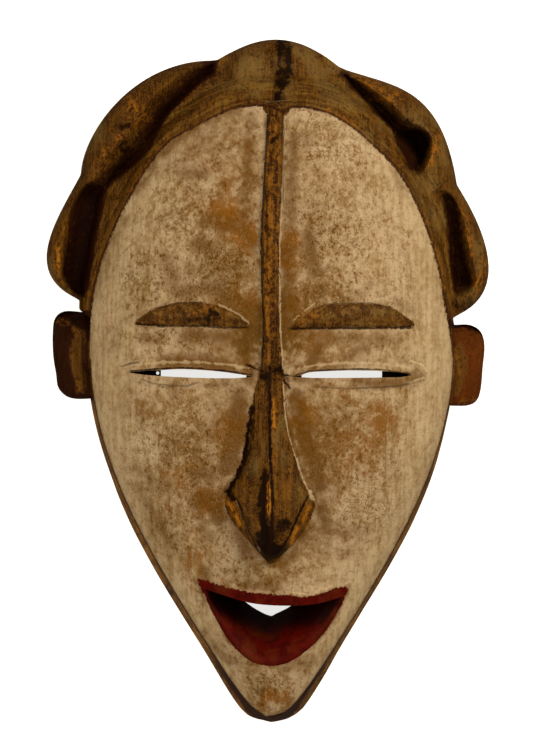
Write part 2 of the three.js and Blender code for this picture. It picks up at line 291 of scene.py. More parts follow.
def off_piece(x, y, start, end):
    """Offsets of points from the nearest place on one straight piece of a line."""
    (ax, ay), (bx, by) = start, end
    dx, dy = bx - ax, by - ay
    t = np.clip(((x - ax) * dx + (y - ay) * dy) / max(dx * dx + dy * dy, 1e-12), 0, 1)
    return x - ax - t * dx, y - ay - t * dy


def distance_to(x, y, way, closed=False):
    """Distance in the face's plane from points to a broken line."""
    way = np.asarray(way, float)
    best = np.full(x.shape, np.inf)
    for start, end in zip(way, np.roll(way, -1, axis=0) if closed else way[1:]):
        off_x, off_y = off_piece(x, y, start, end)
        best = np.minimum(best, off_x ** 2 + off_y ** 2)
    return np.sqrt(best)


def inside(x, y, loop):
    """True where a point lies within a closed outline."""
    odd = np.zeros(x.shape, bool)
    for (ax, ay), (bx, by) in zip(loop, np.roll(loop, -1, axis=0)):
        if ay == by:
            continue
        crosses = (ay > y) != (by > y)
        odd ^= crosses & (x < ax + (y - ay) * (bx - ax) / (by - ay))
    return odd


def depth_in(x, y, loop):
    """Signed distance to a closed outline, positive within it."""
    away = distance_to(x, y, loop, closed=True)
    return np.where(inside(x, y, loop), away, -away)


def through(points, count=8, closed=False):
    """A smooth curve that passes through the given points."""
    p = np.asarray(points, float)
    if closed:
        p = np.vstack([p[-1:], p, p[:2]])
    else:
        p = np.vstack([2 * p[0] - p[1], p, 2 * p[-1] - p[-2]])
    t = np.linspace(0, 1, count, endpoint=False)[:, None]
    made = []
    for a, b, c, d in zip(p[:-3], p[1:-2], p[2:-1], p[3:]):
        made.append(0.5 * (2 * b + (c - a) * t + (2 * a - 5 * b + 4 * c - d) * t * t
                           + (3 * b - a - 3 * c + d) * t ** 3))
    made = np.vstack(made)
    return made if closed else np.vstack([made, p[-2]])


def between(top, bottom):
    """The closed outline between an upper edge and a lower one that share their ends."""
    return np.vstack([through(top), through(bottom)[::-1][1:-1]])


def table(y, rows, column):
    """A column of a table whose first column falls from row to row, read at y."""
    rows = np.asarray(rows, float)[::-1]
    return np.interp(y, rows[:, 0], rows[:, column])


def line_field(x, y, rows):
    """Side and nearness of drawn lines: signed distance in half widths, and strength close to the line."""
    best = np.full(x.shape, LINE_REACH + 1.0)
    side, near = np.full(x.shape, 9.0), np.zeros(x.shape)
    for width, strength, way in rows:
        for (ax, ay), (bx, by) in zip(way, way[1:]):
            away = np.hypot(*off_piece(x, y, (ax, ay), (bx, by)))
            across = ((x - ax) * (by - ay) - (y - ay) * (bx - ax)) / math.hypot(bx - ax, by - ay)
            closer = away < best
            best = np.where(closer, away, best)
            side = np.where(closer, across / width, side)
            near = np.where(closer, strength * smooth(LINE_REACH, LINE_REACH - 1.0, away), near)
    return side, near


def seeded_points(seed, count, low, high):
    """Scattered points that are the same every run."""
    return np.random.default_rng(seed).uniform(low, high, (count, 2))


def scallops(x, y, centres, reach):
    """How near each point is to the middle of its nearest tool mark, from 0 to 1."""
    best = np.full(x.shape, 1e9)
    for cx, cy in centres:
        best = np.minimum(best, (x - cx) ** 2 + (y - cy) ** 2)
    return np.clip(1 - best / reach ** 2, 0, 1)


def waves(x, y, seed, size, count=14):
    """A gentle hand-made unevenness between about -1 and 1, from waves of about one size."""
    draw = np.random.default_rng(seed)
    total = np.zeros(x.shape)
    for _ in range(count):
        angle, phase = draw.uniform(0, 2 * np.pi, 2)
        pitch = size * draw.uniform(0.7, 1.5)
        total += np.sin((x * np.cos(angle) + y * np.sin(angle)) * 2 * np.pi / pitch + phase)
    return total / np.sqrt(count)


def uneven(x, y, height, rows):
    """A surface with hand-made unevenness laid over it."""
    for seed, size, rise in rows:
        height = height + rise * waves(x, y, seed, size)
    return height


def groove(away, width, depth):
    """Depth of a soft groove at a distance from its middle."""
    return depth * np.exp(-(away / width) ** 2)


def quarter_round(t):
    """Rises steeply from 0 and levels off at 1."""
    return np.sqrt(1 - (1 - t) ** 2)


# How far from a drawn line its marks are kept: over one cell of the front's grid.
LINE_REACH = 2.6

# The midline ridge: row, left edge, right edge. It is lower above its full part, and a little crowned.
RIDGE = (
    (148, 4.5, 9.5), (140, 3.2, 9), (133, 0.9, 7.6), (90.5, -1.4, 6.9), (70.5, -2.5, 5.6), (45.5, -2, 5.6),
    (25.5, -1.2, 5.8), (5.5, -2.5, 7.4), (0, -3.2, 7.5),
)
RIDGE_FOOT = -2
RIDGE_RISE = 4.3
RIDGE_LOW = (0.45, 0.55)
RIDGE_CROWN = (0.5, 3.5)
# The nose: row, left edge of its roof, right edge, outer foot left, outer foot right, keel rise, edge rise.
NOSE = (
    (8, -1.9, 6.8, -2.8, 7.6, 4.3, 1.6), (4.5, -2.5, 7, -3.6, 7.9, 4.8, 1.9),
    (-6.5, -5.2, 7.5, -6.5, 8.5, 6.4, 2.4), (-22.5, -6.4, 9, -8, 10.2, 10.8, 3),
    (-33.5, -7.2, 11.2, -9.3, 12.8, 14.8, 3.8), (-41, -9.4, 12.8, -12, 14.6, 17.4, 5),
    (-49, -12.3, 14.6, -16, 16.8, 20, 7.4), (-55.3, -15.7, 17.8, -20, 20.4, 22.2, 10),
    (-57.5, -15, 18.9, -20.8, 22.2, 22.8, 11), (-62, -12.6, 16.9, -20.9, 23.6, 23.7, 13.2),
    (-68.5, -9.5, 14, -18.3, 21.5, 24.8, 15.8), (-76, -6.2, 11, -12.3, 17.2, 25.4, 18.4),
    (-81.5, -4, 8.6, -7.4, 12.2, 24.6, 19), (-85.5, -1.8, 6.3, -3.9, 7.8, 20.5, 16.5),
    (-88.3, -0.2, 4.4, -1.4, 5.2, 12.5, 10), (-90.3, 0.9, 2.9, 0.3, 3.4, 0, 0),
)
NOSE_TOP = NOSE[0][0]
NOSE_TIP = NOSE[-1][0]
# The keel's x, softness and highest row, the hollowing of the planes beside it, and the wings' curve.
KEEL_X = 1.8
KEEL_SOFT = 0.075
KEEL_TOP = 5
PLANE_HOLLOW = 0.05
WING_CURVE = 0.85

BROWS = (
    ((-65, 29.5), (-57, 35.2), (-45, 38.3), (-33, 38.8), (-21, 36.3), (-11.2, 30.4), (-9.5, 27.2),
     (-20.8, 26.7), (-33, 27.5), (-51, 27.5), (-64.5, 28)),
    ((11.6, 27), (15.5, 29.8), (22.8, 35.2), (29, 37.6), (40, 38.2), (52, 38.2), (61.6, 36.4), (67.7, 32.7),
     (72.5, 29), (71, 27), (52, 26.7), (27.7, 26.7), (13, 26.4)),
)
BROW_RISE = 2.3
BROW_TOP = (0.75, 0.25)

# The lids stand a little proud round each slit, with a groove outside them: place, half width, depth.
LIDS = (
    ((-71, 4.4), (-60, 9), (-36, 10.6), (-14, 8.4), (-3.5, 4.2), (-14, -0.6), (-36, -2.6), (-58, -1.9)),
    ((9.5, 3), (22, 8.2), (46, 10.6), (68, 9.2), (81, 4.2), (68, -1.6), (46, -3.4), (24, -1.4)),
)
LID_RISE = 0.7
LID_GROOVE = (1.4, 0.9, 0.2)
# Each slit: its upper edge, its lower edge, and where it goes right through the wood.
SLITS = (
    (((-68.5, 4.2), (-61, 5), (-54, 5.3), (-44, 5.85), (-34, 5.5), (-21.5, 4.4), (-7.5, 2.3)), ((-68.5, 4),
      (-58.8, 2.8), (-44, 1.9), (-29, 1.4), (-16.5, 1.4), (-7.5, 2.1)), (-53, -10.5)),
    (((13, 2.4), (17, 2.9), (21, 4.25), (30.5, 4.9), (42.5, 5.2), (57, 4.9), (66.5, 4.1), (71.4, 3.1)),
     ((13, 2.1), (23.5, 1.5), (37.5, 1.5), (57, 1.7), (66.5, 1.9), (71.4, 2.8)), (17, 57)),
)
# How deep a slit is cut where it isn't open, and the height from which the open part is cut.
SLIT_DEPTH = 9
SLIT_FLOOR = 18
# The pinhole beside the left slit: place, radius, and the lowest and highest ends of its cutter.
PINHOLE = (-54.6, 3.9, 0.8)
PINHOLE_SPAN = (18, 118)
# A height above the whole front, for the cutters.
ABOVE_ALL = 130
WELD = 0.004

LIP_TOP = (
    (-35.6, -98.3), (-29, -99.6), (-20, -102.6), (-15.4, -103.6), (-9, -104.9), (-4.5, -105.5),
    (3.2, -106.1), (11, -106.5), (17.5, -107.5), (26.4, -105.7), (34, -102.9), (40.9, -102.2),
)
LIP_BOTTOM = (
    (-35.6, -98.3), (-32.2, -105), (-27.5, -115), (-22.5, -124.1), (-17.5, -131.6), (-10, -138.6),
    (-5, -140.9), (1, -141.9), (5, -141.7), (10, -140.4), (15, -137.7), (20, -133.9), (25, -129.3),
    (30, -123.3), (35, -115), (37.7, -110.2), (40.9, -102.2),
)
LIP_RISE = 0.9
MOUTH_TOP = (
    (-30.9, -103.6), (-20, -107.2), (-9.5, -110.2), (0.3, -111.5), (12, -111.8), (22, -111.2), (30, -109.6),
    (37.6, -107.2),
)
MOUTH_BOTTOM = (
    (-30.9, -103.6), (-29.4, -109.4), (-26.4, -115), (-21.6, -123.5), (-16.8, -130.7), (-9.6, -137.5),
    (-4.8, -139.8), (1, -140.8), (4.8, -140.6), (9.6, -139.3), (14.4, -136.7), (19.2, -133), (24.1, -128.6),
    (29.1, -122.6), (33.8, -114.8), (36.3, -110.7), (37.6, -107.2),
)
# How deep the mouth is at a distance inside its lower edge.
MOUTH_DEPTH = (
    (0, 0.6), (3, 2.4), (7, 6.5), (11, 12.5), (15, 20), (19, 30), (22, 38), (23.6, 44), (25.2, 90),
)
# It steepens towards its corners: its lowest part's x, the gain on the left and right, over what distance.
MOUTH_X = 4.5
MOUTH_GAIN = (0.95, 0.4)
MOUTH_HALF = 34
MOUTH_CURVE = 1.5
MOUTH_LOWEST = -4


def body_rises(x, y):
    """The ridge and nose above the plain front, with signed distances to their edges for the paint."""
    left, right = table(y, RIDGE, 1), table(y, RIDGE, 2)
    ridge_in = np.where(y > RIDGE_FOOT, np.minimum(x - left, right - x), -FAR)
    fade = ramp("ridge_top", y) * ramp("ridge_foot", y)
    crown = RIDGE_CROWN[0] * np.clip(ridge_in / RIDGE_CROWN[1], 0, 1)
    high = RIDGE_RISE * (RIDGE_LOW[0] + RIDGE_LOW[1] * ramp("ridge_full", y)) + crown
    ridge = high * ramp("ridge_side", ridge_in) * fade
    left, right, foot_left, foot_right, keel, edge = (table(y, NOSE, column) for column in range(1, 7))
    side = x >= KEEL_X
    share = np.where(side, (x - KEEL_X) / (right - KEEL_X), (KEEL_X - x) / (KEEL_X - left))
    share = np.sqrt(share ** 2 + KEEL_SOFT ** 2) - KEEL_SOFT / 2
    roof = keel - (keel - edge) * np.clip(share, 0, 1)
    roof -= PLANE_HOLLOW * keel * np.sin(np.pi * np.clip(share, 0, 1))
    past = np.where(side, (foot_right - x) / (foot_right - right), (x - foot_left) / (left - foot_left))
    nose = np.where(share <= 1, roof, edge * np.clip(past, 0, 1) ** WING_CURVE)
    within = (y < NOSE_TOP) & (y > NOSE_TIP)
    nose = np.where(within, nose * ramp("nose_top", y), 0)
    nose_in = np.minimum(x - foot_left, foot_right - x)
    beyond = np.abs(np.where(y > 0, y - NOSE_TOP, y - NOSE_TIP))
    nose_in = np.where(within, nose_in, -beyond - np.maximum(-nose_in, 0) * 0.5)
    return ridge, nose, ridge_in, nose_in


def hair_heights(x, y):
    """Height of the coiffure: rolled lobes inside the outline, cut by the valleys beside the head."""
    t = np.clip(distance_to(x, y, hair_outline()) / HAIR_ROUND, 0, 1)
    slab = HAIR_EDGE + (HAIR_TOP - HAIR_EDGE) * quarter_round(t)
    for notch in [lobe[-1] for lobe in LOBES[:-1]]:
        near = np.clip(1 - np.hypot(x - notch[0], y - notch[1]) / NOTCH_REACH, 0, 1)
        slab -= NOTCH_DIP * near ** NOTCH_CURVE
    for outline, floor, reach, _, _ in VALLEYS:
        within = depth_in(x, y, through(outline, 4, closed=True))
        t = np.clip(-within / reach, 0, 1)
        rise = VALLEY_SIDE[0] * quarter_round(t) + VALLEY_SIDE[1] * smooth(0, 1, t)
        wall = floor + (HAIR_TOP + VALLEY_LIP - floor) * rise
        wall = wall - VALLEY_DISH[0] * smooth(0, VALLEY_DISH[1], within)
        slab = np.where(t < 1, np.minimum(slab, wall), slab)
    return slab


def front(x, y):
    """Height of the whole carved front, as seen from in front."""
    head_in = depth_in(x, y, head_outline())
    paint_in = depth_in(x, y, paint_outline())
    wall = np.minimum(BAND_SLOPE * head_in, BAND_DROP * depth_in(x, y, np.array(BAND)))
    plain = np.where(head_in >= 0, dome(x, y), WALL_HEIGHT + np.maximum(BAND_FALL * head_in, wall))
    plain = uneven(x, y, plain, FACE_WAVES)
    foot, width, depth = PAINT_GROOVE
    edge = HAIR_STEP * ramp("paint_step", paint_in) - groove(paint_in - foot, width, depth)
    plain = plain + edge * ramp("hair_step", y)
    marks = scallops(x, y, seeded_points(*KNIFE_MARKS), KNIFE_REACH)
    slab = uneven(x, y, hair_heights(x, y) - KNIFE_DEPTH * marks, HAIR_WAVES)
    hair = ramp("past_head", -head_in) * ramp("hair_row", y)
    height = np.where(hair > 0, soft_max(np.where(hair > 0, slab, -FAR), plain, HAIR_BLEND), plain)
    ridge, nose, _, _ = body_rises(x, y)
    height = height + np.maximum(ridge, nose)
    for loop in BROWS:
        within = depth_in(x, y, through(loop, closed=True))
        top = BROW_TOP[0] + BROW_TOP[1] * ramp("brow_top", within)
        height = height + BROW_RISE * ramp("brow_side", within) * top
    place, width, depth = LID_GROOVE
    for loop in LIDS:
        within = depth_in(x, y, through(loop, closed=True))
        height = height + LID_RISE * ramp("lid", within) - groove(within + place, width, depth)
    for width, depth, line in CUT_LINES:
        height = height - groove(distance_to(x, y, line), width, depth)
    return height + LIP_RISE * ramp("lip", depth_in(x, y, between(LIP_TOP, LIP_BOTTOM)))


# Each ear: its outline, the bowed line beyond which its face falls away (outermost x, middle y, half
# length), and the outline of the flat half-moon facet beside the face.
EARS = {
    "ear_left": (
        ((-80, 32), (-86, 33.8), (-92.5, 34.4), (-101.5, 34.8), (-106.2, 31.2), (-107.3, 23.5),
         (-107, 12.5), (-105.6, 3.5), (-104.6, -3.2), (-100.6, -7.6), (-95.5, -9), (-89, -8.9), (-84, -8.6),
         (-80, -8)),
        (-98.6, 12, 17),
        ((-95, 25), (-97.4, 19.5), (-98.6, 13.5), (-97.6, 4.5), (-95.6, -1.5), (-92.6, -6.5), (-91, -6.5),
         (-91, 25)),
    ),
    "ear_right": (
        ((82, 27), (88, 27.8), (93.5, 28), (101.2, 28), (106.6, 24.6), (108.5, 17.5), (107.6, 7),
         (106.6, -4), (104.6, -9.8), (100.5, -12.2), (94, -12.5), (86, -12), (82, -11.6)),
        (99.2, 6.5, 15.5),
        ((96.4, 20.5), (98.2, 14.5), (99.1, 7.5), (98.2, 0.5), (95.4, -7.5), (93, -7.5), (93.6, 16)),
    ),
}
# Rings from an ear's underside to its flat inner facet: share of its outline, height.
EAR_RINGS = (
    (0, 17.5), (0.55, 17.6), (0.86, 18.4), (0.97, 20.5), (1, 24), (1, 30), (1, 35.5), (0.985, 38.6),
    (0.95, 40.4), (0.89, 41.2), (0.78, 41.4), (0.6, 41.4), (0.35, 41.4), (0, 41.4),
)
# The bow's depth, the slope beyond it and how softly that starts, and the fall of the ear's top.
EAR_BOW = 5.5
EAR_FALL = 0.95
EAR_SOFT = 0.15
EAR_TOP_FALL = (8, 0.05)
# Rings of the side wall from the front down to the rim, as shares of its height.
RING_SHARES = (0.05, 0.14, 0.26, 0.4, 0.55, 0.7, 0.83, 0.92, 0.975, 1)
# How far the rim stands out beyond the painted face: share of the way to the chin, left, right. It is full
# at a share of the wall's height, and turns in a little at the rim.
SIDE_BAND = (
    (1, 2.8, 2.8), (0.993, 3.1, 3.3), (0.978, 4.6, 4.2), (0.96, 4.8, 4.7), (0.94, 4.5, 4.4),
    (0.914, 4.1, 4), (0.87, 3.5, 3.5), (0.83, 3.1, 2.8), (0.79, 2.9, 2.4), (0.7, 2.9, 2.1), (0.61, 3, 2.3),
    (0.48, 2.9, 2.4), (0.4, 2.5, 2.1), (0.355, 2.1, 1.9), (0.31, 1.9, 1.6), (0.27, 1.9, 1.2),
    (0.2, 1.8, 0.7), (0, 1.6, 0.7),
)
BAND_FULL = 0.8
RIM_TURN = 0.9
# How far a lobe's side falls in on the way down: share of the wall's height, distance.
LOBE_UNDERSIDE = (
    (1, 8.5), (0.975, 7.4), (0.92, 6), (0.83, 4.4), (0.7, 2.7), (0.55, 1.3), (0.4, 0.5), (0.26, 0.1),
    (0, 0),
)
# The block's grid: how much its columns crowd towards the middle, and the point that its rows run round.
GRID_CROWDING = 0.35
MIDDLE = (2, 15.5)
# Inside the block its outline is calmed over a number of steps of the whole turn.
TURN_STEPS = 720
CALM_STEPS = 61
# How far along the turn its direction is measured.
TURN_ASIDE = 0.01


def outline_reach():
    """The outline's distance from the middle at each step of the turn, as it is and calmed."""
    edge = silhouette() - np.array(MIDDLE)
    turn, reach = np.arctan2(edge[:, 1], edge[:, 0]), np.hypot(edge[:, 0], edge[:, 1])
    order = np.argsort(turn)
    steps = np.linspace(-np.pi, np.pi, TURN_STEPS + 1)
    even = np.interp(steps, turn[order], reach[order], period=2 * np.pi)
    wide = np.concatenate([even[-CALM_STEPS:-1], even, even[1:CALM_STEPS]])
    window = np.hanning(CALM_STEPS)
    calm = np.convolve(wide, window / window.sum(), mode="same")[CALM_STEPS - 1:1 - CALM_STEPS]
    return steps, even, calm


def place_block(raw):
    """Places of the block's vertices from their raw grid place across, grid place up and ring number."""
    a, b, ring = raw.T
    a = a - GRID_CROWDING * np.sin(2 * np.pi * a) / (2 * np.pi)
    u, v = a * np.sqrt(1 - b * b / 2), b * np.sqrt(1 - a * a / 2)
    share, angle = np.hypot(u, v), np.arctan2(v, u)
    steps, even, calm = outline_reach()
    weight = share ** 3
    radius = np.interp(angle, steps, even) * weight + np.interp(angle, steps, calm) * (1 - weight)
    x = MIDDLE[0] + share * radius * np.cos(angle)
    y = MIDDLE[1] + share * radius * np.sin(angle)
    middle = np.where(y > KEEL_TOP, (table(y, RIDGE, 1) + table(y, RIDGE, 2)) / 2, KEEL_X)
    x = x + (middle - MIDDLE[0]) * (1 - share ** 2)
    z = front(x, y)
    down = np.array((0.0,) + RING_SHARES)[ring.astype(int)]
    ahead, behind = (
        np.interp(turned, steps, even, period=2 * np.pi) * np.array([np.cos(turned), np.sin(turned)])
        for turned in (angle + TURN_ASIDE, angle - TURN_ASIDE)
    )
    along_x, along_y = ahead - behind
    length = np.hypot(along_x, along_y)
    hairy = ramp("hair_wall", y)
    low = to_ends(y)[1]
    right = ramp("right", x - MIDDLE[0])
    band = table(low, SIDE_BAND, 1) * (1 - right) + table(low, SIDE_BAND, 2) * right
    jaw = band * np.minimum(down / BAND_FULL, 1.0) - RIM_TURN * ramp("rim_turn", down)
    offset = np.where(ring > 0, jaw * (1 - hairy) - table(down, LOBE_UNDERSIDE, 1) * hairy, 0)
    x, y = x + along_y / length * offset, y - along_x / length * offset
    return np.column_stack([x, y, np.where(ring > 0, z * (1 - down), z)])


def fill_mesh(mesh, bm):
    """Writes a bmesh into a mesh with its faces turned outwards."""
    bmesh.ops.recalc_face_normals(bm, faces=bm.faces)
    bm.to_mesh(mesh)
    bm.free()


def mesh_object(bm, name, place=None):
    """Turns a bmesh into an object, and moves its vertices by a formula."""
    mesh = bpy.data.meshes.new(name)
    fill_mesh(mesh, bm)
    if place is not None:
        put(mesh, place(points(mesh)))
        bm = bmesh.new()
        bm.from_mesh(mesh)
        fill_mesh(mesh, bm)
    made = bpy.data.objects.new(name, mesh)
    bpy.context.scene.collection.objects.link(made)
    return made


def points(mesh):
    """A mesh's vertices as rows of numbers."""
    co = np.zeros(len(mesh.vertices) * 3)
    mesh.vertices.foreach_get("co", co)
    return co.reshape(-1, 3)


def put(mesh, co):
    """Moves a mesh's vertices."""
    mesh.vertices.foreach_set("co", np.asarray(co, float).ravel())
    mesh.update()


def make_block(across, up):
    """The mask's body: a grid laid over the front, with its border drawn down to the rim in rings."""
    bm = bmesh.new()
    bmesh.ops.create_grid(bm, x_segments=across, y_segments=up, size=1.0)
    border = [e for e in bm.edges if e.is_boundary]
    for ring in range(1, len(RING_SHARES) + 1):
        made = bmesh.ops.extrude_edge_only(bm, edges=border)["geom"]
        for v in made:
            if isinstance(v, bmesh.types.BMVert):
                v.co.z = ring
        edges = [e for e in made if isinstance(e, bmesh.types.BMEdge)]
        border = [e for e in edges if all(v.co.z == ring for v in e.verts)]
    bmesh.ops.edgeloop_fill(bm, edges=border)
    return mesh_object(bm, "carved_mask", place_block)


def make_hollow():
    """The scooped back, open below: a squarish dome with the marks of a curved adze."""
    bm = bmesh.new()
    bmesh.ops.create_uvsphere(bm, u_segments=110, v_segments=56, radius=1.0)
    centres = seeded_points(*ADZE_MARKS)

    def place(raw):
        turn, rise = np.arctan2(raw[:, 1], raw[:, 0]), np.arcsin(np.clip(raw[:, 2], -1, 1))
        upper, lower = np.clip(rise, 0, None), np.clip(rise, None, 0)
        share = np.where(rise >= 0, np.sqrt(np.cos(upper)), np.cos(lower) ** 0.25)
        x = HOLLOW_HALF * share * np.cos(turn)
        reach = np.where(np.sin(turn) >= 0, HOLLOW_UP, HOLLOW_DOWN)
        y = HOLLOW_Y + reach * share * np.sin(turn)
        top = (front_line(y) - FRONT_THICKNESS) * np.sqrt(np.sin(upper))
        marked = ramp("hollow_height", top)
        top = top - ADZE_DEPTH * marked * scallops(x, y, centres, ADZE_REACH) + HOLLOW_LIFT * marked
        z = np.where(rise >= 0, top, -HOLLOW_BELOW * np.sqrt(np.clip(-np.sin(lower), 0, 1)))
        return np.column_stack([x + lean(y), y, z])

    return mesh_object(bm, "hollow", place)


def make_pocket(name, low, high, floor, across, deep, span=(0.0, 1.0)):
    """A cutter that opens upwards: a grid between two edges at a floor height, drawn up past the front."""
    bm = bmesh.new()
    bmesh.ops.create_grid(bm, x_segments=across, y_segments=deep, size=1.0)
    co = np.array([v.co for v in bm.verts])
    s = span[0] + (span[1] - span[0]) * (co[:, 0] + 1) / 2
    t = (co[:, 1] + 1) / 2
    spot = low(s) * (1 - t)[:, None] + high(s) * t[:, None]
    for v, (x, y), z in zip(bm.verts, spot, floor(spot[:, 0], spot[:, 1])):
        v.co = (x, y, z)
    bmesh.ops.remove_doubles(bm, verts=bm.verts, dist=WELD)
    made = bmesh.ops.extrude_face_region(bm, geom=bm.faces[:])["geom"]
    for v in made:
        if isinstance(v, bmesh.types.BMVert):
            v.co.z = ABOVE_ALL
    return mesh_object(bm, name)


def along(curve):
    """A curve as a function of the share of its length."""
    steps = np.hypot(*np.diff(curve, axis=0).T)
    share = np.concatenate([[0], np.cumsum(steps)]) / steps.sum()
    return lambda s: np.column_stack([np.interp(s, share, curve[:, 0]), np.interp(s, share, curve[:, 1])])


def over(curve):
    """A curve as a function of x, scaled from 0 to 1 between its ends."""
    lowest, highest = curve[0, 0], curve[-1, 0]

    def spot(s):
        x = lowest + (highest - lowest) * s
        return np.column_stack([x, np.interp(x, curve[:, 0], curve[:, 1])])

    return spot


def make_mouth():
    """The mouth's bowl, which runs down from the lower lip and out under the upper one."""
    low_edge = through(MOUTH_BOTTOM)

    def floor(x, y):
        aside = np.clip(np.abs(x - MOUTH_X) / MOUTH_HALF, 0, 1) ** MOUTH_CURVE
        away = distance_to(x, y, low_edge) * (1 + np.where(x < MOUTH_X, *MOUTH_GAIN) * aside)
        return np.maximum(front(x, y) - np.interp(away, *np.array(MOUTH_DEPTH).T), MOUTH_LOWEST)

    return make_pocket("mouth", along(low_edge), along(through(MOUTH_TOP)), floor,
                       across=84, deep=30)


def make_slit(upper, lower, clear):
    """One eye slit: a shallow cut from tip to tip, and a deeper one right through where light shows."""
    high, low = over(through(upper)), over(through(lower))
    first, last = upper[0][0], upper[-1][0]
    span = [(x - first) / (last - first) for x in clear]
    shallow = make_pocket("slit_cut", low, high, lambda x, y: front(x, y) - SLIT_DEPTH,
                          across=60, deep=3)
    deep = make_pocket("slit_hole", low, high, lambda x, y: np.full(x.shape, SLIT_FLOOR),
                       across=48, deep=3, span=span)
    return shallow, deep


def make_pinhole():
    """The small round hole beside the left slit."""
    x, y, radius = PINHOLE
    low, high = PINHOLE_SPAN
    bm = bmesh.new()
    bmesh.ops.create_cone(bm, cap_ends=True, segments=16, radius1=radius, radius2=radius, depth=high - low)
    bmesh.ops.translate(bm, vec=(x, y, (low + high) / 2), verts=bm.verts)
    return mesh_object(bm, "pinhole")


def make_ear(name):
    """An ear: a thick tab whose face is a half-moon facet and a larger one that falls away outwards."""
    outline, (outermost, middle_y, bow_half), _ = EARS[name]
    loop = through(outline, closed=True)
    middle = loop.mean(axis=0)
    ring = along(np.vstack([loop, loop[:1]]))
    shares, heights = np.array(EAR_RINGS).T
    bm = bmesh.new()
    bmesh.ops.create_uvsphere(bm, u_segments=72, v_segments=len(EAR_RINGS) * 2, radius=1.0)

    def place(raw):
        turn = np.arctan2(raw[:, 1], raw[:, 0]) / (2 * np.pi) % 1.0
        rise = np.arcsin(np.clip(raw[:, 2], -1, 1)) / np.pi + 0.5
        spot = rise * (len(EAR_RINGS) - 1)
        share, z = (np.interp(spot, range(len(EAR_RINGS)), column) for column in (shares, heights))
        around = ring(turn)
        x, y = (middle + (around - middle) * share[:, None]).T
        side = np.sign(outermost)
        past = side * x - (side * outermost - EAR_BOW * ((y - middle_y) / bow_half) ** 2)
        fall = EAR_FALL * (past + np.sqrt(past ** 2 + EAR_SOFT)) / 2
        start, curve = EAR_TOP_FALL
        shown = ramp("ear_height", z)
        z = z - fall * shown - curve * np.clip(y - middle_y - start, 0, None) ** 2 * shown
        return np.column_stack([x, y, uneven(x, y, z, EAR_WAVES)])

    return mesh_object(bm, name, place)


def combine(body, tool, operation):
    """Joins a tool's shape to the body or cuts it out, and removes the tool."""
    step = body.modifiers.new("cut", "BOOLEAN")
    step.operation = operation
    step.solver = "MANIFOLD"
    step.object = tool
    graph = bpy.context.evaluated_depsgraph_get()
    mesh = bpy.data.meshes.new_from_object(body.evaluated_get(graph))
    body.modifiers.clear()
    before = body.data
    body.data = mesh
    bpy.data.meshes.remove(before)
    shape = tool.data
    bpy.data.objects.remove(tool)
    bpy.data.meshes.remove(shape)
    if not mesh.polygons:
        raise RuntimeError("a cut left nothing of the mask")
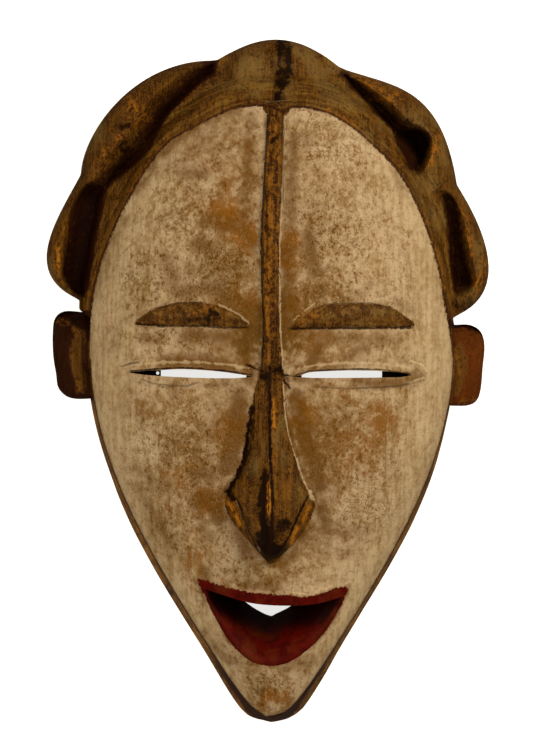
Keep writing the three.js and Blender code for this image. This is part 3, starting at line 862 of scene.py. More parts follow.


# Marks of age and wear, with painted shade and painted highlight among them: x, y, half width, half height,
# strength. Their outlines waver across and up.
BLOT_WAVES = (((21, 17, 3.2),), ((22, 17, 3.2),))
BLOT_FALL = 0.8
BLOTS = {
    # where grime sits in the paint, and painted shade under the brows, beside the ridge, under the nose and
    # by the lips
    "grime": (
        (-40, 82, 26, 26, 0.52), (-64, 50, 16, 24, 0.55), (-72, 20, 12, 20, 0.3), (-24, 54, 20, 20, 0.6),
        (-22, 112, 20, 14, 0.3), (30, 75, 20, 30, 0.45), (22, 116, 16, 14, 0.35), (46, 104, 10, 14, 0.35),
        (25, 44, 26, 14, 0.6), (-40, -34, 24, 28, 0.55), (-50, -75, 14, 24, 0.5), (32, -30, 26, 26, 0.55),
        (48, -68, 18, 18, 0.3), (-4, -97, 24, 9, 0.5), (-2, -154, 12, 11, 0.6), (-45, 21, 26, 7, 0.5),
        (45, 19, 26, 6, 0.35), (-32, -106, 8, 10, 0.45), (-9, 22, 9, 16, 0.8), (13, 22, 8, 14, 0.7),
        (-8, 96, 8, 34, 0.4),
    ),
    # where a brown haze lies on it, and painted shade under the brows and beside the ridge
    "stain": (
        (-15.5, 42, 12, 12, 0.8), (-9, 24, 8, 10, 0.9), (-30, 18, 30, 6, 0.4), (-18.5, 66, 13, 22, 0.5),
        (19, 40, 16, 12, 0.7), (22, 19, 16, 8, 0.7), (10, 62.5, 3.5, 9, 1), (10, 20, 4, 12, 0.8),
        (18.5, -22, 9, 13, 1), (55, -24.5, 10, 12, 0.9), (34, -30, 26, 22, 0.6), (30, -48, 12, 14, 0.5),
        (-19.5, -25, 9, 8, 0.9), (-39.5, -31, 8, 14, 0.8), (-57.5, -14, 4, 5, 0.8), (-45, -46, 16, 12, 0.6),
        (-30, -61, 8, 5, 0.8), (-39.5, -87.5, 6, 7, 0.9), (-32, -94, 3, 6, 0.9), (-39, -103, 4, 4, 0.6),
        (7.5, -96, 12, 6, 0.5), (19, -73.5, 7, 12, 0.7), (0.5, -157, 9, 5, 0.9), (-60, 4, 14, 10, 0.2),
        (-70, -18, 5, 12, 0.4), (-52, -70, 10, 16, 0.5), (-33, -77, 8, 8, 0.4), (60, 22, 16, 10, 0.2),
        (-26, 118, 14, 16, 0.3), (30, 96, 10, 12, 0.35), (62, -40, 6, 12, 0.5), (-12, 96, 8, 20, 0.3),
    ),
    # where it has turned rust brown
    "rust": (
        (-20.5, 84.5, 7, 9, 0.95), (-12, 72, 4, 6, 0.9), (-8.5, 62.5, 3, 3.5, 0.8), (56, -20, 8, 9, 0.5),
        (-17, -24, 7, 6, 0.6), (18.5, -22, 6, 10, 0.6), (-30, -61, 4, 4, 0.9), (-24, -60, 3, 3, 0.6),
        (-38, -88, 5, 6, 0.6), (1, -158.5, 5, 3, 0.9), (7, -155, 4, 3, 0.7), (10, 63, 3.6, 9, 1),
        (-12, 40, 7, 6, 0.6), (-41, -45, 6, 5, 0.5), (-31.5, -93, 2.5, 6, 0.8), (20, 33, 12, 4, 0.5),
        (44, -34, 14, 12, 0.35), (-18, 104, 6, 8, 0.2),
    ),
    # where flakes of paint are missing
    "speckle": (
        (-23.5, 59, 14, 14, 1), (-34, 50, 26, 20, 0.8), (29, 118, 20, 15, 1), (32, 76, 24, 28, 0.8),
        (-45, -40, 32, 36, 0.8), (50, -40, 36, 36, 0.4), (-48, 20, 24, 8, 0.7), (4, -152, 20, 12, 0.8),
        (-25, -84, 24, 16, 0.5), (50, 40, 26, 20, 0.35), (-20, 112, 24, 22, 0.3), (30, 45, 24, 12, 0.5),
    ),
    # where the paint has curled
    "curls": ((48, -64, 18, 14, 1), (58, -42, 12, 16, 0.6), (-26, 55, 12, 10, 0.5), (66, 58, 8, 20, 0.3)),
    # where dust has greyed the coat, and painted highlight on the lit right side of the coiffure and on the
    # lobes' rims
    "grey": (
        (46, 160, 40, 10, 1), (88, 124, 10, 20, 1), (106, 78, 6, 24, 1), (20, 160, 16, 12, 1),
        (80, 92, 8, 14, 1), (-87, 122, 5, 16, 1), (-106, 50, 4, 10, 1), (-8, 156, 10, 10, 1),
        (-4, 146, 20, 4, 1), (30, 148, 14, 6, 1), (92, 112, 5, 12, 1), (86, 76, 3, 20, 1),
        (104, 44, 8, 5, 1), (80, 124, 12, 12, 1), (52, 126, 12, 8, 1), (36, 139, 14, 6, 1),
        (104, 58, 7, 10, 1), (58, 34, 13, 4, 1), (8, -30, 3, 12, 1), (15, -57, 4, 8, 1), (-6, -38, 3, 8, 1),
        (82, 88, 4, 14, 1),
    ),
    # where smoke and handling have blackened the coat
    "smoke": (
        (1.5, -82, 8, 9, 2), (1, -70, 5, 8, 0.6), (-6, -50, 6, 12, 0.4), (10, -60, 5, 12, 0.3),
        (-26, 30.5, 9, 2.6, 0.9), (-70, 128, 6, 5, 0.85), (-75, 117, 5, 4, 0.85), (-60, 148, 6, 2.5, 0.5),
        (-66, 146, 4, 3, 0.4), (-30, 153, 8, 5, 0.6), (-101, 53, 3, 4, 0.8), (3, 3, 5, 8, 0.85),
        (3, 18, 4, 4, 0.5), (2, 62, 3, 8, 0.65), (5, 118, 3, 9, 0.8), (3, 86, 3, 5, 0.6),
        (1, 50, 3, 3, 0.7), (2.4, 74, 2, 4, 0.5), (60, 30, 10, 3, 0.3), (93, 22, 3, 4, 0.5),
        (-60, 31, 6, 3, 0.3), (73, 126, 8, 5, 0.6), (2, 100, 3, 6, 0.5), (1, 40, 3, 6, 0.45),
        (-93, 30, 4, 5, 0.9), (104, 58, 5, 6, 0.4), (14, 148, 4, 3, 0.6),
        (-46, 150, 4, 2, 0.4), (98, 31, 8, 5, 1.1),
    ),
}
# More of them as drawn lines: how softly these end, then each one's half width, strength and way.
STROKES = {
    "smoke": (2.4, (
        (1.3, 0.9, ((-39, 30.2), (-27, 31), (-15, 29.2))), (1.2, 0.5, ((18, 29.5), (34, 30), (50, 29.5))),
        (4.4, 0.95, ((8.2, 168), (8.8, 158), (7.6, 149))), (2.4, 0.9, ((5.6, 147), (5.2, 141))),
        (1.6, 0.7, ((-7, -20), (-9.5, -36), (-14, -48))), (1.4, 0.6, ((0, -2), (0.2, -46))),
        (2.4, 1.1, ((-1, -46), (-2.8, -62), (-2, -78))), (1.2, 0.5, ((-2, 144), (-12, 146), (-24, 150))),
    )),
    # where the dark coat is worn back to orange wood
    "worn": (1.4, (
        (1.1, 1.5, ((3.2, -10), (3.4, -24))), (1, 0.8, ((3, -26), (3.4, -40))),
        (0.9, 1.2, ((0.6, -42), (0.4, -50))), (1.4, 1.6, ((0.4, -51), (0.7, -65))),
        (1.6, 1.4, ((-18.8, -60.5), (-17, -64))), (1.5, 1.4, ((-15.6, -66.6), (-13.6, -71.6))),
        (1.9, 1.2, ((20.6, -62.5), (17.6, -70))), (1.5, 1.6, ((14.4, -73), (11.8, -80.5))),
        (1.4, 1.5, ((-104.4, 66), (-104.2, 57))), (1, 1.35, ((-67.5, 138.5), (-64.5, 135))),
        (0.9, 1.3, ((-74, 122), (-76, 118.5))), (0.9, 1.35, ((50, 141.5), (55.5, 140))),
        (1, 1.4, ((82.6, 119), (80.6, 112))), (1.1, 1.3, ((102, 52), (105, 49))),
        (2.4, 0.9, ((-104.2, 68), (-104.8, 58), (-101.5, 50))),
        (3.4, 0.75, ((-68, 140), (-66, 132), (-72, 125))), (3, 0.7, ((-62, 135), (-60, 130))),
        (4, 0.7, ((-80, 113), (-85, 104), (-83, 98))), (3, 0.6, ((-98, 80), (-101, 72))),
        (1.8, 1, ((85.6, 124), (84, 115), (80.5, 108))), (3.6, 0.8, ((46, 149), (56, 144.5), (64, 141))),
        (2.6, 0.7, ((97.5, 84), (99.5, 74), (101.5, 64))),
        (2.6, 0.95, ((108.5, 60), (107, 52), (103.5, 45))), (2, 0.8, ((100, 56), (104, 51))),
        (1.8, 0.75, ((30, 134.5), (37, 131.5), (44, 126))), (1.2, 0.6, ((50, 134), (60, 121), (66, 108))),
        (1.4, 0.8, ((77, 84), (84.5, 63), (88.5, 46))), (1, 0.6, ((92, 47), (92.5, 30))),
        (1.6, 0.6, ((-50, 121.5), (-60, 109), (-70, 92))), (1.4, 0.5, ((-76, 80), (-84, 60), (-88, 44))),
        (1.4, 0.6, ((-105, 30.4), (-99, 28.6), (-95.6, 25))), (1.2, 0.6, ((-94.5, 2), (-94, -5))),
        (1.4, 0.6, ((96, -10.6), (103, -9.8))), (1.2, 0.7, ((94.2, 16), (95.4, 4))),
        (2.2, 0.5, ((-36, 34), (-28, 35.5))), (2, 0.6, ((15, 29), (24, 33))),
        (2, 0.45, ((2, 22), (1.6, 50), (2, 78))), (2, 0.5, ((3, 84), (4.6, 128))),
    )),
    # painted shade, with some soiling: broad soft darkening of the paint beside the ridge and nose, round
    # the brows and above the mouth
    "dusk": (6, (
        (4, 0.8, ((-9, 130), (-9, 112), (-10, 95), (-12, 78), (-7, 64))),
        (12, 0.4, ((-20, 120), (-16, 60), (-20, 0), (-26, -60))),
        (4, 0.8, ((-60, 106), (-50, 117), (-34, 128), (-16, 135))),
        (4, 0.5, ((-85, 44), (-81, 62), (-71, 80))),
        (4, 0.8, ((13, 120), (12, 100), (12, 84), (10, 62), (11, 44), (10, 32))),
        (12, 0.35, ((18, 100), (18, 20), (26, -50))), (6, 1.5, ((-20, 37), (-8, 33))),
        (4, 0.9, ((-44, 44), (-30, 46), (-18, 43))), (5, 1, ((-50, 8), (-36, 10), (-20, 6))),
        (4, 1, ((-40, 23), (-24, 22), (-12, 20), (-9, 2))), (5, 1.2, ((-14, -10), (-16, -28), (-20, -42))),
        (4, 0.9, ((-36, -46), (-28, -48))), (5, 1.1, ((-34, -60), (-26, -60), (-24, -67))),
        (4, 0.6, ((-34, -66), (-29, -78))), (9, 0.45, ((-52, 108), (-36, 118), (-16, 130))),
        (4, 0.9, ((27, -64), (29, -73))), (4, 0.5, ((26, -84), (40, -86))),
        (4, 0.9, ((-14, -76), (-10, -84))), (5, 0.9, ((-33, 67), (-28, 64))),
        (3, 0.8, ((-39, 57), (-37, 53))), (4, 0.8, ((-42, 104), (-32, 103))),
        (3, 0.8, ((-66, 95), (-61, 100))), (3, 0.7, ((66, 38), (72, 35))),
        (5, 0.6, ((-64, -52), (-57, -66), (-48, -80))), (4, 0.45, ((50, 10), (74, 9))),
        (4, 0.5, ((-68, -6), (-62, -22))), (4, 0.8, ((48, 16), (34, 7), (16, 1))),
        (5, 1.4, ((10, 38), (11, 28))), (4, 0.7, ((14, 23), (26, 22), (44, 21), (62, 20))),
        (4, 1.1, ((25, 16), (22, 8))), (4, 1.1, ((14, -8), (17, -22), (21, -34), (27, -52))),
        (4, 0.8, ((44, 0), (58, -1), (74, 2))), (6, 0.5, ((20, -80), (34, -76), (48, -76))),
        (3, 0.9, ((14, -84), (8, -92))), (3, 0.6, ((38, -14), (40, -20))),
        (2.5, 1, ((-11, -102), (-6, -102.5), (2, -103))), (3, 0.9, ((-31, -94), (-30, -101))),
        (4, 0.8, ((-50, 60), (-46, 48))), (4, 0.5, ((-78, 16), (-74, 28), (-62, 37))),
        (4, 0.6, ((-62, 22), (-56, 21))), (4, 0.6, ((-47, -2), (-46, -6))),
        (4, 0.6, ((-66, -44), (-50, -54))), (5, 0.8, ((-30, 80), (-12, 76))), (3, 0.7, ((8, 66), (10, 58))),
        (4, 0.6, ((-30, -126), (-22, -136), (-8, -144))), (3, 0.6, ((62, 106), (68, 96))),
        (4, 1, ((24, 54), (20, 72))), (3, 0.8, ((20, 122), (20, 118))), (3, 0.6, ((44, 42), (50, 46))),
        (4, 0.6, ((8, -144), (22, -138))),
    )),
}
# Dark lines, painted shade with grime in the creases: along the nose's keel and side grooves, the slits and
# lids, under the brows, down the ridge's left side and where the ears meet the head: half width, strength,
# then the line.
SHADE_AND_GRIME_LINES = (
    (0.8, 1, ((1, 6), (1.1, -11), (1.2, -30), (1.8, -44), (2.6, -58), (1.9, -78), (1.5, -86))),
    (0.6, 0.9, ((-1.9, -52), (-1.6, -64))),
    (1.25, 1, ((-7.6, -14), (-9.9, -28), (-11.6, -38), (-14.9, -47), (-19.4, -55.5))),
    (1.3, 1, ((-19.6, -55.5), (-17, -58.4))),
    (0.55, 1, ((19.4, -58.6), (15.6, -66), (11, -77), (6.6, -84))),
    (0.6, 0.9, ((-14.6, -60), (-12.4, -66), (-9.6, -73), (-6, -80.5))),
    (0.45, 0.9, ((-66.5, 4.9), (-54, 6), (-44, 6.5), (-34, 6.2), (-21.5, 5.1), (-9.5, 3.3))),
    (0.45, 0.8, ((15, 3.2), (21, 5), (42.5, 5.9), (57, 5.6), (69.4, 3.9))),
    (0.5, 0.6, ((-71, 7.7), (-68, 8.7), (-65.5, 9))),
    (0.45, 0.5, ((-61, 0.3), (-57, -1.2), (-49, -2.4), (-40, -2.5), (-36, -1.2))),
    (0.4, 0.4, ((26, -3), (38, -3.9))), (0.45, 0.5, ((43.5, -3.7), (54.5, -3.3), (64, -2.6), (68.8, -1.8))),
    (0.7, 1, ((-9, 7.4), (-6, 6.2), (-3.5, 5.2))), (0.6, 0.9, ((9.5, 2.8), (12, 2.5))),
    (0.7, 0.9, ((8.6, -0.5), (10.2, -2.4))),
    (0.55, 0.8, ((-63.5, 28.1), (-51, 27.2), (-33, 27.2), (-20.8, 26.4), (-11.5, 26.5))),
    (0.6, 0.9, ((70, 26.6), (52, 26.2), (27.7, 26.2), (13, 26))),
    (0.4, 0.6, ((-64, 30.6), (-57, 35.6), (-45, 38.7), (-34, 39.1))),
    (0.4, 0.55, ((24, 36.2), (29, 38), (40, 38.6), (52, 38.6), (60.6, 36.8))),
    (0.45, 0.85, ((0.1, 131), (-1, 111), (-2.1, 90.5), (-3.2, 70.5), (-2.7, 45.5), (-1.9, 25.5),
      (-2.9, 8))), (0.4, 0.55, ((8.3, 131), (7.7, 90.5))), (0.5, 0.6, ((2.2, 138.6), (10.2, 139))),
    (0.5, 0.3, ((74.5, 6), (77.5, 3))), (0.6, 0.6, ((-92, 27), (-92.3, 12), (-91.3, -6))),
    (0.6, 0.4, ((93, 24), (93.8, 10), (93.2, -8))),
)
# Light lines: painted highlights, with kaolin gathered in them, along edges that face the light: the right
# sides of the ridge and nose, the brows' inner ends, the upper lids and the upper lip.
HIGHLIGHT_AND_KAOLIN_LINES = (
    (0.45, 0.75, ((8.5, 130), (8.1, 110), (7.3, 90), (6.1, 68), (6.1, 45), (6.4, 25), (7.6, 8))),
    (0.4, 0.7, ((7.9, -1.5), (8.9, -17.5), (10.6, -27), (13.4, -36), (17.2, -47.5), (20.6, -55))),
    (1.1, 0.8, ((20.8, -54.6), (22, -57.4))), (0.3, 0.4, ((-15.6, -59.5), (-10.6, -70.5), (-4.4, -83))),
    (0.5, 0.45, ((-22.5, 37.2), (-14, 33), (-10.5, 29.8))),
    (0.5, 0.45, ((14.5, 31.5), (18.5, 34.9), (22, 37.4))),
    (0.8, 0.5, ((-66, 8.2), (-52, 9.2), (-36, 9.4), (-18, 7.9), (-11, 6.6))),
    (0.7, 0.45, ((20, 7.2), (36, 9), (54, 8.8), (68, 7))), (0.5, 0.7, ((73, 9.4), (77, 8), (79.5, 4.5))),
    (0.5, 0.6, ((73, 0), (78, 1.6))), (0.3, 0.2, ((1.5, 138.9), (9.5, 139.4))),
    (0.7, 0.6, ((13, -105.2), (22, -106.2), (31, -102.2))), (0.5, 0.5, ((18, -101.6), (27, -103))),
)
# Lines cut into the wood: half width, depth, line.
CUT_LINES = (
    (0.8, 1, ((-8.6, -24), (-11, -38), (-14.4, -47), (-18.8, -54.5))),
    (1.6, 2.2, ((-19.6, -54.8), (-17, -58))), (0.6, 0.4, ((1.1, 0), (1.3, -25), (1.3, -49), (1.6, -80))),
    (0.5, 0.5, ((18.9, -57.6), (15.2, -65.8), (10.6, -78))),
)
# Painted shade round what stands up from the face: strength, and the distances it lies between.
RELIEF_SHADE = {"nose": (0.9, 7, -0.5), "ridge": (0.5, 4.5, 0), "brow": (0.6, 4, -0.5), "lip": (0.6, 3, -0.5)}
# Small nicks in the paint on either side of the ridge's top: x, y, reach. They are longer than wide.
RIDGE_NOTCHES = ((-0.2, 137.2, 2.2), (9, 135.4, 1.9))
NOTCH_SQUEEZE = 0.6
# How far outside each of these the paint stops.
PAINT_GAPS = {"ridge": 0.6, "nose": 0.2, "brow": 0}
# How much closer to its line the paint ends at the jaw, where the front turns steeply down.
JAW_CRISPNESS = 3
# Below this row it also ends at the head's edge: how crisply, and how far inside.
EDGE_ROW = HAIR_END[1] + 2
HEAD_CRISPNESS = (3, 0.6)
# No paint and no line is farther below the front than this.
PAINT_BELOW = 0.5
LINES_BELOW = 1.5
UNPAINTED = -3
# How far the blackening at the chin reaches out from the paint, and how much farther at its tip and left.
CHIN_DARK = (1.7, 1.1, 0.5)
CHIN_SOFT = (0.9, -0.7)
# How far inside a valley's outline it is fully dark.
VALLEY_INNER = 0.6
# Mottle of the side walls and of the painted shade round the raised parts: a level, and waves of a seed,
# size and height.
RIM_MOTTLE = (0.8, ((31, 13, 0.4), (32, 4, 0.25)))
RIM_RANGE = (0.1, 1.5)
RELIEF_SHADE_MOTTLE = (0.75, ((34, 15, 0.3),))
# Smoke on the side walls: seed and size of its waves, strength.
SMOKY_WAVES = (33, 16)
SMOKY = 0.6
# The hollow's squareness, how near its surface the lips' red may come, and how much crisper it ends below.
HOLLOW_SQUARENESS = 4
LIP_CLEARANCE = 1.12
LIP_CRISPNESS = 2
NOT_LIPS = -5
# Strengths on the whole and over a ramp: of the line round the paint, a painted shadow with dirt that is
# strongest under the hair's step, and of the coat's marks on the nose.
PAINT_EDGE = (0.55, 0.45)
DARK_RIDGE = (0.35, 0.65)
COMB_STRETCH = 0.09


def blots(x, y, rows):
    """The strongest of several soft marks at each point, each of an uneven outline."""
    total = np.zeros(x.shape)
    x, y = (uneven(x, y, place, wavering) for place, wavering in zip((x, y), BLOT_WAVES))
    for cx, cy, rx, ry, strength in rows:
        away = ((x - cx) / rx) ** 2 + ((y - cy) / ry) ** 2
        total = np.maximum(total, strength * np.exp(-BLOT_FALL * away))
    return total


def strokes(x, y, soft, rows):
    """The strongest of several drawn lines at each point."""
    total = np.zeros(x.shape)
    for width, strength, line in rows:
        total = np.maximum(total, strength * smooth(width + soft, width - soft, distance_to(x, y, line)))
    return total


def most_within(x, y, loops):
    """Depth within whichever of several outlines holds each point most deeply."""
    return np.max([depth_in(x, y, loop) for loop in loops], axis=0)


def mottle(x, y, level, rows):
    """A level with waves laid over it."""
    return uneven(x, y, np.full(x.shape, level), rows)


def edges_within(x, y):
    """Depth of each point within the outlines that the marks follow."""
    _, _, ridge_in, nose_in = body_rises(x, y)
    return {
        "ridge": ridge_in, "nose": nose_in,
        "brow": np.maximum(most_within(x, y, [through(loop, closed=True) for loop in BROWS]), -FAR),
        "paint": depth_in(x, y, paint_outline()),
        "head": head_half(y) - np.abs(x - lean(y)),
        "lip": depth_in(x, y, between(LIP_TOP, LIP_BOTTOM)),
        "mouth": depth_in(x, y, between(MOUTH_TOP, MOUTH_BOTTOM)),
    }


def paint_reach(x, y, below, within):
    """How far inside the white paint's edge each point lies."""
    paint = within["paint"] * (1 + JAW_CRISPNESS * (1 - ramp("upper_face", y)))
    crispness, gap = HEAD_CRISPNESS
    paint = np.where(y < EDGE_ROW, np.minimum(paint, crispness * within["head"] - gap), paint)
    for name, gap in PAINT_GAPS.items():
        paint = np.minimum(paint, -within[name] - gap)
    for cx, cy, reach in RIDGE_NOTCHES:
        paint = np.minimum(paint, np.hypot(x - cx, NOTCH_SQUEEZE * (y - cy)) - reach)
    return np.where(below > PAINT_BELOW, np.minimum(paint, UNPAINTED), paint)


def valley_dark(x, y, paint_in):
    """Painted shade, with grime, in the coiffure's valleys, and the blackening round the chin."""
    valley = np.zeros(x.shape)
    for outline, _, _, darkness, soft in VALLEYS:
        within = depth_in(x, y, through(outline, 4, closed=True))
        valley = np.maximum(valley, darkness * smooth(-soft, VALLEY_INNER, within))
    valley *= ramp("past_band", depth_in(x, y, np.array(BAND)))
    reach, at_tip, at_left = CHIN_DARK
    reach = reach * (1 + at_tip * ramp("chin_tip", y) + at_left * ramp("chin_left", x))
    chin = ramp("chin", y) * ramp("past_paint", paint_in)
    return np.maximum(valley, chin * smooth(reach + CHIN_SOFT[0], reach + CHIN_SOFT[1], -paint_in))


def hollow_share(x, y, z):
    """How near each point lies to the hollow's surface: 1 on it, less inside."""
    reach = np.where(y > HOLLOW_Y, HOLLOW_UP, HOLLOW_DOWN)
    share = np.sqrt(((x - lean(y)) / HOLLOW_HALF) ** 2 + ((y - HOLLOW_Y) / reach) ** 2)
    ceiling = np.maximum(front_line(y) - FRONT_THICKNESS, 1)
    return share ** HOLLOW_SQUARENESS + (np.maximum(z, 0) / ceiling) ** HOLLOW_SQUARENESS


def shade_round_reliefs(x, y, within):
    """Painted shade in the corners round the nose, the ridge, the brows and the lips."""
    total = np.zeros(x.shape)
    for name, (strength, far, near) in RELIEF_SHADE.items():
        amount = strength * smooth(far, near, -within[name])
        total = np.maximum(total, amount * ramp("above_nose", y) if name == "ridge" else amount)
    return total * mottle(x, y, *RELIEF_SHADE_MOTTLE)


def face_marks(co):
    """What each vertex carries for the material, in millimetres or from 0 to 1."""
    x, y, z = co.T
    below = front(x, y) - z
    within = edges_within(x, y)
    paint_in, lip_in = within["paint"], within["lip"]
    up = ramp("upper_face", y)
    outlines, _, facets = zip(*EARS.values())
    eared = ramp("ear", most_within(x, y, [through(outline, closed=True) for outline in outlines]))
    eared = eared * ramp("beside_head", within["head"]) * ramp("above_wall", z)
    facet = ramp("edge", most_within(x, y, [np.array(outline) for outline in facets]))
    near_hollow = hollow_share(x, y, z)
    behind = ramp("in_hollow", near_hollow) * ramp("off_mouth", within["mouth"])
    aside = np.abs(x - lean(y)) / np.maximum(head_half(y), 1)
    in_face = ramp("face_side", aside) * ramp("face_foot", y) * ramp("face_top", y)
    rim = ramp("wall", below) * (1 - up) * (1 - eared) * ramp("well_off_lips", lip_in) * (1 - in_face)
    smoky = SMOKY * rim * ramp("smoky", waves(x, y, *SMOKY_WAVES))
    ridge_share = DARK_RIDGE[0] + DARK_RIDGE[1] * ramp("dark_ridge", y)
    dark_side, dark_near = line_field(x, y, SHADE_AND_GRIME_LINES)
    light_side, light_near = line_field(x, y, HIGHLIGHT_AND_KAOLIN_LINES)
    marks = {name: blots(x, y, rows) for name, rows in BLOTS.items()}
    drawn = {name: strokes(x, y, soft, rows) for name, (soft, rows) in STROKES.items()}
    marks.update({
        "paint": paint_reach(x, y, below, within),
        "lips": np.where((near_hollow > LIP_CLEARANCE) | (within["mouth"] > 0),
                         lip_in * (1 + LIP_CRISPNESS * ramp("lower_lip", y)), NOT_LIPS),
        # Painted shade: the mouth's red darkens with depth under the upper lip.
        "throat": ramp("under_lip", np.interp(x, *np.array(MOUTH_TOP).T) - y) * ramp("throat", below),
        "valley": valley_dark(x, y, paint_in),
        "dark_side": dark_side,
        "dark_near": np.where(below < LINES_BELOW, dark_near, 0),
        "light_side": light_side,
        "light_near": np.where(below < LINES_BELOW, light_near, 0),
        "hairline": paint_in,
        "paint_edge": np.where(below < LINES_BELOW, PAINT_EDGE[0] + PAINT_EDGE[1] * up, 0) * (1 - eared),
        "rim": rim * np.clip(mottle(x, y, *RIM_MOTTLE), *RIM_RANGE),
        "smoke": np.maximum(np.maximum(marks["smoke"], drawn["smoke"]), smoky),
        "worn": drawn["worn"],
        # Painted shade, with some soiling: drawn soft patches and the shade round the raised parts.
        "dusk": np.maximum(drawn["dusk"], shade_round_reliefs(x, y, within)),
        # Painted shade on the left ear, painted light on the right ear and on the half-moon facets, as if
        # lit from the right.
        "facet": facet * eared,
        "ear_left": eared * (x < 0) * (1 - facet),
        "ear_right": eared * (x > 0) * (1 - facet),
        "brow": ramp("brow_paint", within["brow"]),
        "body": ramp("edge", np.maximum(within["ridge"], within["nose"])) * ridge_share,
        "hair": up * ramp("hair_near", paint_in) * ramp("hair_far", paint_in) * (1 - eared),
        "back": behind * ramp("back", below),
        "face_edge": ramp("face_edge", aside),
        # Painted shade, near black, on the walls of the slits and holes below the front.
        "cut": ramp("cut", below) * ramp("off_lips", lip_in) * in_face * (1 - behind),
    })
    return marks


def comb_places(co):
    """Places for the hair's streaks, stretched so that they run along the edge of the paint."""
    x, y, _ = co.T
    across = -depth_in(x, y, paint_outline())
    return np.column_stack([across, COMB_STRETCH * x, COMB_STRETCH * y]) * MM


def opaque(colour):
    """Red, green and blue with full opacity."""
    return tuple(colour) + (1.0,)


def srgb(hex_colour):
    """A colour written as RRGGBB, as linear red, green, blue and opaque."""
    parts = [int(hex_colour[i:i + 2], 16) / 255 for i in (0, 2, 4)]
    return opaque(c / 12.92 if c <= 0.04045 else ((c + 0.055) / 1.055) ** 2.4 for c in parts)


def add(tree, kind, inputs=None, **settings):
    """Adds one node, sets it up and fills its sockets from values or from other nodes."""
    made = tree.nodes.new(kind)
    for name, value in settings.items():
        setattr(made, name, value)
    for name, value in (inputs or {}).items():
        if isinstance(value, bpy.types.NodeSocket):
            tree.links.new(value, made.inputs[name])
        else:
            made.inputs[name].default_value = value
    return made


# Patterns in the wood and paint: name, real size in millimetres, detail, and stretch across, up and out.
PATTERNS = (
    ("cloud", 24, 3, (1, 1, 1)), ("haze", 13, 4, (1.1, 0.9, 1)), ("blotch", 6, 5, (1, 1, 1)),
    ("patch", 3.2, 5, (1.15, 0.9, 1)), ("fleck", 1.6, 3, (1.1, 0.85, 1)), ("grit", 1.1, 2, (1, 1, 1)),
    ("pit", 0.9, 2, (1, 1, 1)), ("grain", 1.1, 4, (1.6, 0.07, 0.2)), ("streak", 3, 4, (1.4, 0.09, 0.3)),
    ("curl", 2.6, 2, (1, 1, 1)), ("combed", 1.6, 4, (1, 1, 1)),
)
# Values whose distance from a middle draws lines: name, what it folds, that middle.
FOLDS = (
    ("dark_away", "dark_side", 0), ("light_away", "light_side", 0), ("hairline_away", "hairline", -0.25),
    ("curl_away", "curl", 0.5), ("flake_edge", "patch", 0.56),
)
# Marks made ragged by a pattern: name, pattern, how much of it, mark.
RAGGED = (
    ("paint_rag", "fleck", 2.4, "paint"), ("lip_rag", "fleck", 3, "lips"),
    ("stain_and_shade_soft", "haze", 2.4, "stain"), ("stain_and_shade_rag", "patch", 2, "stain_and_shade_soft"),
    ("rust_soft", "blotch", 2, "rust"), ("rust_rag", "fleck", 1.6, "rust_soft"),
    ("patch_soil_and_shade", "patch", 2, "dusk"), ("haze_grime_and_shade", "haze", 2.5, "grime"),
    ("patch_grime_and_shade", "patch", 2.5, "grime"), ("fleck_grime_and_shade", "fleck", 2.5, "grime"),
    ("blotch_grime_and_shade", "blotch", 1.5, "grime"), ("blotch_soil_and_shade", "blotch", 1.6, "dusk"),
    ("smoke_rag", "patch", 2, "smoke"), ("flaking", "patch", 0.7, "fleck"),
    ("flake_rag", "speckle", 0.2, "flaking"), ("valley_soft", "blotch", 1.2, "valley"),
    ("valley_rag", "fleck", 1, "valley_soft"), ("dark_uneven", "patch", 4, "dark_away"),
    ("dark_rag", "fleck", 2.4, "dark_uneven"), ("light_uneven", "patch", 4, "light_away"),
    ("light_rag", "fleck", 2.6, "light_uneven"), ("hairline_rag", "fleck", 3, "hairline_away"),
)
